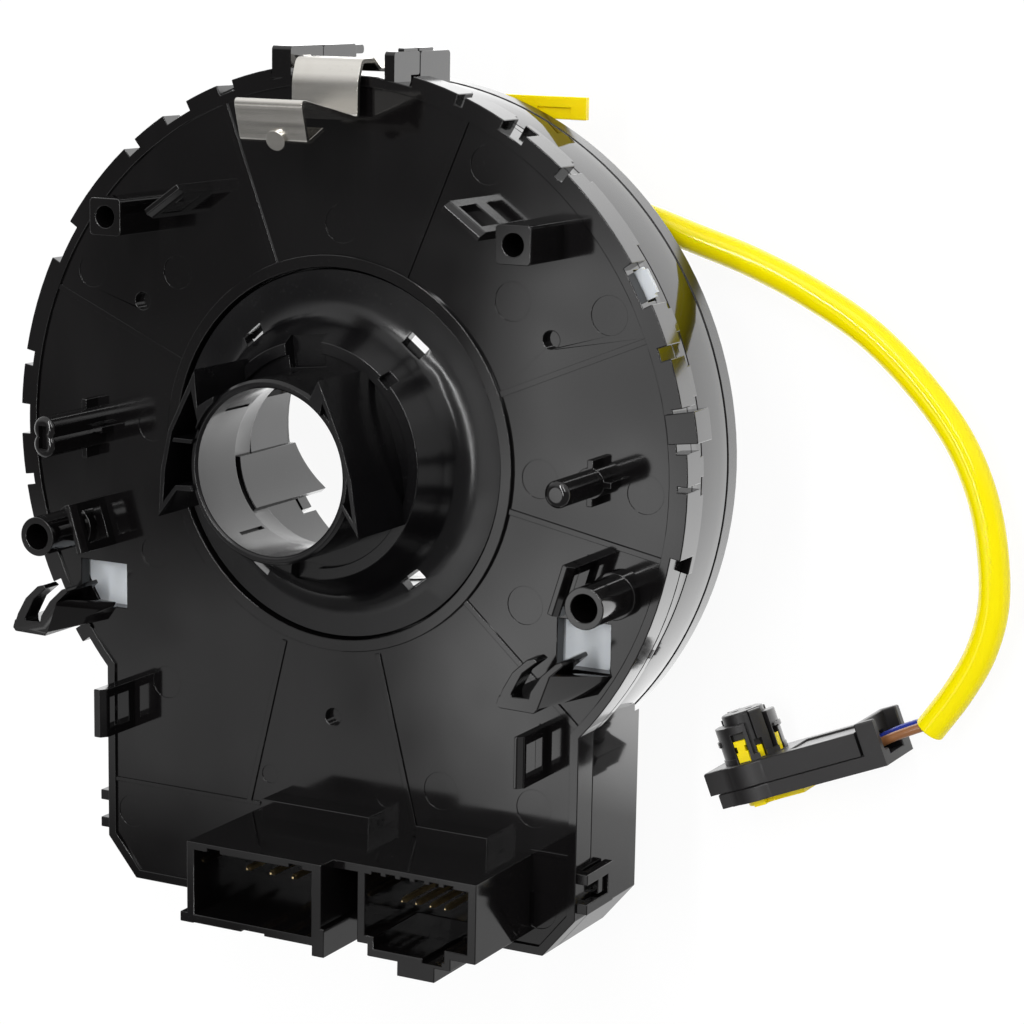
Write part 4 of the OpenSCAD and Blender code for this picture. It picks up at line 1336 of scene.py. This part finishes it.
class TreeMaker(NodeBench):
    """Makes a Geometry Nodes tree with named inputs, and runs it on pieces."""

    def __init__(self, name: str, takes: list[tuple[str, str, object]]) -> None:
        """Makes an empty tree.

        Args:
            name: The tree's name.
            takes: Names, socket types and defaults of its inputs, beside its geometry and its material.
        """
        super().__init__(bpy.data.node_groups.new(name, "GeometryNodeTree"))
        sockets = self.tree.interface
        sockets.new_socket("Geometry", in_out="INPUT", socket_type="NodeSocketGeometry")
        for label, kind, default in takes:
            made = sockets.new_socket(label, in_out="INPUT", socket_type=kind)
            if default is not None:
                made.default_value = default
        sockets.new_socket("Material", in_out="INPUT", socket_type="NodeSocketMaterial")
        sockets.new_socket("Geometry", in_out="OUTPUT", socket_type="NodeSocketGeometry")
        self.takes = self.node("NodeGroupInput").outputs

    def feed(self, source: object, target: Socket) -> None:
        """Feeds an input.

        Args:
            source: The name of one of the tree's inputs, a socket, or a plain value.
            target: The input.
        """
        super().feed(self.takes[source] if isinstance(source, str) else source, target)

    def vector(self, x: object, y: object, z: object) -> Socket:
        """Joins three numbers, sockets or names of inputs to a vector and returns its socket."""
        return self.fed("ShaderNodeCombineXYZ", {"X": x, "Y": y, "Z": z}).outputs[0]

    def moved(self, shape: Socket, **how: object) -> Socket:
        """Moves or turns a shape.

        Args:
            shape: The shape.
            **how: Its Translation or its Rotation.

        Returns:
            The moved shape's socket.
        """
        return self.fed("GeometryNodeTransform", {"Geometry": shape, **how}).outputs[0]

    def finish(self, shape: Socket, smooth: bool = True) -> None:
        """Ends the tree: realises the shape's instances and gives it the tree's material.

        Args:
            shape: What the tree has made.
            smooth: Whether it is shaded smooth.
        """
        for kind, values in (
            ("GeometryNodeRealizeInstances", {}),
            ("GeometryNodeSetShadeSmooth", {"Shade Smooth": smooth}),
            ("GeometryNodeSetMaterial", {"Material": "Material"}),
        ):
            shape = self.fed(kind, {"Geometry": shape, **values}).outputs[0]
        self.feed(shape, self.node("NodeGroupOutput").inputs[0])

    def run(
        self, name: str, values: dict[str, object], base: bpy.types.ID | None = None
    ) -> bpy.types.Object:
        """Runs the tree and keeps its result as a plain mesh.

        Args:
            name: Name of the piece.
            values: The tree's inputs by name.
            base: The mesh or curve that the tree starts from, if any.

        Returns:
            The piece.
        """
        source = add_piece(name + "_source", base or bpy.data.meshes.new(name))
        worker = source.modifiers.new(self.tree.name, "NODES")
        worker.node_group = self.tree
        for item in self.tree.interface.items_tree:
            if item.item_type == "SOCKET" and item.in_out == "INPUT" and item.name in values:
                worker[item.identifier] = values[item.name]
        mesh = plain_mesh(source)
        bpy.data.objects.remove(source)
        return add_piece(name, mesh)


@dataclass
class TerminalRow:
    """A row of square terminals with tapered tips.

    Attributes:
        node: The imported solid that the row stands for.
        body: The body that it rides on.
        first: Where the tip of the first terminal ends.
        pitch: Distance from one terminal to the next, along X.
        count: How many.
        length: From the tip to the root.
        out: 1 if the tips point to +Y, -1 if to -Y.
        width: Width of a terminal.
        tip: Length of its taper.
    """

    node: str
    body: Body
    first: Point
    pitch: float
    count: int
    length: float
    out: int
    width: float = 0.64 * MM
    tip: float = 0.7 * MM

    @staticmethod
    def tree() -> TreeMaker:
        """Makes the tree that sets terminals in a row.

        Returns:
            The tree, which all rows share.
        """
        half_diagonal, tip_radius, weld = math.sqrt(0.5), 0.22, 1e-6
        maker = TreeMaker(
            "terminal_row",
            [
                ("Count", "NodeSocketInt", 4),
                ("Pitch", "NodeSocketFloat", 2.2 * MM),
                ("Width", "NodeSocketFloat", 0.64 * MM),
                ("Length", "NodeSocketFloat", 12 * MM),
                ("Tip", "NodeSocketFloat", 0.7 * MM),
                ("Out", "NodeSocketFloat", -1.0),
                ("First", "NodeSocketVector", None),
            ],
        )
        back = maker.math("MULTIPLY", "Out", -1.0)
        run = maker.math("SUBTRACT", "Length", "Tip")
        middle = maker.math("ADD", maker.math("DIVIDE", run, 2.0), "Tip")
        shank = maker.fed("GeometryNodeMeshCube", {"Size": maker.vector("Width", run, "Width")})
        away = maker.vector(0.0, maker.math("MULTIPLY", middle, back), 0.0)
        shank = maker.moved(shank.outputs["Mesh"], Translation=away)
        taper = maker.fed(
            "GeometryNodeMeshCone",
            {
                "Vertices": 4,
                "Depth": "Tip",
                "Radius Bottom": maker.math("MULTIPLY", "Width", half_diagonal),
                "Radius Top": maker.math("MULTIPLY", "Width", tip_radius),
            },
        )
        square = maker.moved(taper.outputs["Mesh"], Rotation=(0.0, 0.0, math.pi / 4))
        lain = maker.vector(maker.math("MULTIPLY", "Out", -math.pi / 2), 0.0, 0.0)
        behind = maker.vector(0.0, maker.math("MULTIPLY", "Tip", back), 0.0)
        taper = maker.moved(square, Rotation=lain, Translation=behind)
        joined = maker.node("GeometryNodeJoinGeometry")
        maker.feed(taper, joined.inputs[0])
        maker.feed(shank, joined.inputs[0])
        welded = maker.fed("GeometryNodeMergeByDistance", {"Geometry": joined.outputs[0], "Distance": weld})
        line = maker.fed(
            "GeometryNodeMeshLine",
            {"Count": "Count", "Start Location": "First", "Offset": maker.vector("Pitch", 0.0, 0.0)},
            mode="OFFSET",
        )
        row = maker.fed(
            "GeometryNodeInstanceOnPoints", {"Points": line.outputs["Mesh"], "Instance": welded.outputs[0]}
        )
        maker.finish(row.outputs[0], smooth=False)
        return maker

    def build(self, tree: TreeMaker, finishes: Finishes) -> None:
        """Sets the row in its socket.

        Args:
            tree: The tree that all rows share.
            finishes: The unit's finishes.
        """
        row = tree.run(
            self.node + "_row",
            {
                "Count": self.count,
                "Pitch": self.pitch,
                "Width": self.width,
                "Length": self.length,
                "Tip": self.tip,
                "Out": float(self.out),
                "First": self.first,
                "Material": finishes.materials[Slot.GOLD],
            },
        )
        finishes.dress(row, Slot.GOLD)
        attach(row, self.body.value)
        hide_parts(self.node)


# The lead


def between(p: Vector, q: Vector, at_p: float, at_q: float, t: float) -> Vector:
    """Returns the point that a steady walk from p at one time to q at another reaches at time t."""
    return p * ((at_q - t) / (at_q - at_p)) + q * ((t - at_p) / (at_q - at_p))


def smooth_path(points: list[Point], steps: int) -> list[Point]:
    """Fills in between points with a centripetal spline.

    Args:
        points: The points that the path passes through.
        steps: Pieces that each stretch is cut into.

    Returns:
        The finer path.
    """
    way = [Vector(p) for p in points]
    way = [way[0] * 2 - way[1], *way, way[-1] * 2 - way[-2]]
    fine: list[Point] = []
    for i in range(1, len(way) - 2):
        a, b, c, d = way[i - 1 : i + 3]
        t0 = 0.0
        t1 = t0 + math.sqrt((b - a).length)
        t2 = t1 + math.sqrt((c - b).length)
        t3 = t2 + math.sqrt((d - c).length)
        for k in range(steps):
            t = t1 + (t2 - t1) * k / steps
            ab, bc, cd = between(a, b, t0, t1, t), between(b, c, t1, t2, t), between(c, d, t2, t3, t)
            abc, bcd = between(ab, bc, t0, t2, t), between(bc, cd, t1, t3, t)
            fine.append(tuple(between(abc, bcd, t1, t2, t)))
    fine.append(tuple(way[-2]))
    return fine


def path_curve(name: str, points: list[Point]) -> bpy.types.Curve:
    """Makes an open curve through points.

    Args:
        name: Name of the curve.
        points: The points, in order.

    Returns:
        The curve.
    """
    curve = bpy.data.curves.new(name, "CURVE")
    curve.dimensions = "3D"
    spline = curve.splines.new("POLY")
    spline.points.add(len(points) - 1)
    for slot, point in zip(spline.points, points):
        slot.co = (*point, 1)
    return curve


@dataclass
class Lead:
    """The airbag lead: a soft sleeve over two wires.

    Attributes:
        sleeve_d: Outer diameter of the sleeve.
        sleeve_wall: Thickness of its wall at its mouth.
        sleeve_sides: Points round it.
        sleeve_steps: Sections from one point of its route to the next.
        mouth_depth: How far in its mouth is open.
        outer_round: Size of the rounding of the mouth's outer edge.
        inner_round: Size of the rounding of its inner edge.
        sag: How far out of round the sleeve gets, as a share of its diameter.
        sag_turn: How fast that changes along it, in radians for each section.
        wire_d: Diameter of a wire.
        wire_sides: Points round it.
        wire_steps: Pieces from one point of its route to the next.
        wire_tuck: How far a wire goes on into the sleeve.
        sleeve_route: Points that the sleeve follows, the same as its solid's.
        brown_route: Points of the brown wire between the sleeve and the plug.
        blue_route: Points of the blue wire.
    """

    sleeve_d: float = 4.2 * MM
    sleeve_wall: float = 0.45 * MM
    sleeve_sides: int = 36
    sleeve_steps: int = 8
    mouth_depth: float = 2.5 * MM
    outer_round: float = 0.12 * MM
    inner_round: float = 0.1 * MM
    sag: float = 0.015
    sag_turn: float = 0.11
    wire_d: float = 1.3 * MM
    wire_sides: int = 20
    wire_steps: int = 6
    wire_tuck: float = 0.6 * MM
    sleeve_route: list[Point] = field(
        default_factory=lambda: [
            (0.0215, 0.024, 0.0359), (0.028, 0.0242, 0.034), (0.0345, 0.0248, 0.0322),
            (0.041, 0.0256, 0.03), (0.0488, 0.0264, 0.0274), (0.0574, 0.0268, 0.0237),
            (0.0662, 0.027, 0.0187), (0.0743, 0.027, 0.0116), (0.0796, 0.027, 0.005),
            (0.083, 0.027, -0.0022), (0.0847, 0.027, -0.0098), (0.085, 0.027, -0.0165),
            (0.0836, 0.027, -0.0226), (0.0809, 0.027, -0.0281), (0.077, 0.027, -0.034),
        ]
    )
    brown_route: list[Point] = field(
        default_factory=lambda: [
            (0.07658, 0.0263, -0.03337), (0.0755, 0.0262, -0.03386), (0.07436, 0.0261, -0.0344),
            (0.07274, 0.0261, -0.0352), (0.0712, 0.026, -0.03605), (0.069, 0.0259, -0.0375),
        ]
    )
    blue_route: list[Point] = field(
        default_factory=lambda: [
            (0.07685, 0.02775, -0.03312), (0.0755, 0.02785, -0.03345), (0.0743, 0.02795, -0.03397),
            (0.0727, 0.028, -0.03475), (0.0712, 0.028, -0.0356), (0.069, 0.028, -0.03705),
        ]
    )

    @staticmethod
    def wire_tree() -> TreeMaker:
        """Makes the tree that sweeps a round section along a curve.

        Returns:
            The tree, which both wires share.
        """
        takes = [("Diameter", "NodeSocketFloat", 1 * MM), ("Sides", "NodeSocketInt", 24)]
        maker = TreeMaker("swept_tube", takes)
        radius = maker.math("DIVIDE", "Diameter", 2.0)
        section = maker.fed("GeometryNodeCurvePrimitiveCircle", {"Resolution": "Sides", "Radius": radius})
        tube = maker.fed(
            "GeometryNodeCurveToMesh",
            {"Curve": "Geometry", "Profile Curve": section.outputs["Curve"], "Fill Caps": True},
        )
        maker.finish(tube.outputs[0])
        return maker

    def rings(self, last: int) -> list[tuple[int, float, float]]:
        """Lists the sleeve's sections.

        Args:
            last: Number of the route's last section.

        Returns:
            The number of each section's point, its radius and how far ahead of the point it stands.
        """
        outer, inner = self.sleeve_d / 2, self.sleeve_d / 2 - self.sleeve_wall
        return [
            *((i, outer, 0.0) for i in range(last)),
            (last, outer, -self.outer_round),
            (last, outer - self.outer_round, 0.0),
            (last, inner + self.inner_round, 0.0),
            (last, inner, -self.inner_round),
            (last, inner, -self.mouth_depth),
        ]

    def sleeve_mesh(self) -> bpy.types.Mesh:
        """Sweeps the sleeve, with an open mouth at its free end.

        Returns:
            The sleeve's mesh.
        """
        line = [Vector(p) for p in smooth_path(self.sleeve_route, self.sleeve_steps)]
        last = len(line) - 1
        loops = []
        for i, radius, shift in self.rings(last):
            ahead = (line[min(i + 1, last)] - line[max(i - 1, 0)]).normalized()
            side = ahead.cross(Vector((0, 1, 0))).normalized()
            over = ahead.cross(side)
            centre = line[i] + ahead * shift
            flat = 1.0 - self.sag * math.sin(i * self.sag_turn)
            wide, high = side * (radius * flat), over * (radius / flat)
            turns = (2 * math.pi * k / self.sleeve_sides for k in range(self.sleeve_sides))
            loops.append([centre + wide * math.cos(a) + high * math.sin(a) for a in turns])
        return swept_mesh("lead_sleeve", loops, closed=False)

    def build_wire(
        self, tree: TreeMaker, finishes: Finishes, name: str, route: list[Point], slot: Slot
    ) -> bpy.types.Object:
        """Builds a wire from the sleeve's mouth to the plug.

        Args:
            tree: The tree that sweeps it.
            finishes: The unit's finishes.
            name: Name of the solid that it stands for.
            route: Its points.
            slot: Its finish.

        Returns:
            The wire.
        """
        first, second = Vector(route[0]), Vector(route[1])
        start = tuple(first + (first - second).normalized() * self.wire_tuck)
        line = smooth_path([start, *route], self.wire_steps)
        values = {"Diameter": self.wire_d, "Sides": self.wire_sides, "Material": finishes.materials[slot]}
        wire = tree.run("lead_" + name, values, path_curve(name, line))
        finishes.dress(wire, slot)
        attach(wire, Body.ROTOR.value)
        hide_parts(name)
        return wire

    def build(self, finishes: Finishes, plug: list[str]) -> None:
        """Args:
            finishes: The unit's finishes.
            plug: Names of the pieces of the plug on its end. Not used.
        """
        sleeve = add_piece("lead_sleeve", self.sleeve_mesh())
        finishes.dress(sleeve, Slot.SLEEVE)
        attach(sleeve, Body.ROTOR.value)
        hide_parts("yellow_sleeve")
        tree = self.wire_tree()
        brown = self.build_wire(tree, finishes, "brown_wire", self.brown_route, Slot.BROWN)
        blue = self.build_wire(tree, finishes, "blue_wire", self.blue_route, Slot.BLUE)


# The whole unit


MOULDINGS = [
    Moulding("column_cover", Slot.HOUSING, Body.HOUSING, 0.14 * MM),
    Moulding("drum_housing", Slot.HOUSING, Body.HOUSING, 0.14 * MM, polished=True),
    Moulding("slide_sheet", Slot.FILM, Body.HOUSING),
    Moulding("spring_clip", Slot.STEEL, Body.HOUSING, 0.08 * MM),
    Moulding("terminal_block", Slot.INNER, Body.HOUSING),
    Moulding("left_socket_pins", Slot.GOLD, Body.HOUSING),
    Moulding("outer_winding", Slot.RIBBON, Body.HOUSING),
    Moulding("outer_cable_holder", Slot.ACETAL, Body.HOUSING),
    Moulding("rotor_hub", Slot.ROTOR, Body.ROTOR, 0.12 * MM),
    Moulding("rotor_cover", Slot.ROTOR, Body.ROTOR, 0.14 * MM),
    Moulding("wheel_slide_sheet", Slot.FILM, Body.ROTOR),
    Moulding("inner_winding", Slot.RIBBON, Body.ROTOR),
    Moulding("inner_cable_holder", Slot.INNER, Body.ROTOR),
    Moulding("cable_clamp", Slot.INNER, Body.ROTOR, 0.2 * MM),
    Moulding("strain_relief", Slot.INNER, Body.ROTOR, 0.15 * MM),
    Moulding("guide_ring", Slot.ACETAL, Body.GUIDE),
    Moulding("cable_u_turn", Slot.RIBBON, Body.GUIDE),
    Moulding("turning_roller", Slot.ACETAL, Body.ROLLER),
    Moulding("transport_lock", Slot.YELLOW, Body.TRANSPORT_LOCK, 0.12 * MM),
    Moulding("plug_upper_shell", Slot.PLUG, Body.ROTOR, 0.25 * MM),
    Moulding("plug_lower_shell", Slot.PLUG, Body.ROTOR, 0.25 * MM),
    Moulding("plug_terminals", Slot.GOLD, Body.ROTOR),
    Moulding("plug_lock", Slot.YELLOW, Body.PLUG_LOCK, 0.1 * MM),
]
PLUG_PIECES = ["plug_upper_shell_eased", "plug_lower_shell_eased", "plug_lock_eased", "plug_terminals"]
TERMINAL_ROWS = [
    TerminalRow(
        "right_socket_pins",
        Body.HOUSING,
        first=(17.1 * MM, -10.5 * MM, -57.6 * MM),
        pitch=2.2 * MM,
        count=4,
        length=16.8 * MM,
        out=-1,
    ),
    TerminalRow(
        "wheel_socket_pins",
        Body.ROTOR,
        first=(-26 * MM, 28.5 * MM, 30 * MM),
        pitch=2.5 * MM,
        count=6,
        length=11.1 * MM,
        out=1,
    ),
]


def main() -> None:
    """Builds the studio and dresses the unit."""
    logging.basicConfig(level=logging.INFO, format="%(name)s: %(message)s")
    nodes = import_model()["nodes"]
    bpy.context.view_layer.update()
    Viewpoint().place()
    Studio().set_up()
    finishes = Finishes()
    for moulding in MOULDINGS:
        moulding.build(nodes, finishes)
    DrumBand().build(finishes)
    tree = TerminalRow.tree()
    for row in TERMINAL_ROWS:
        row.build(tree, finishes)
    Lead().build(finishes, PLUG_PIECES)


if __name__ == "__main__":
    main()
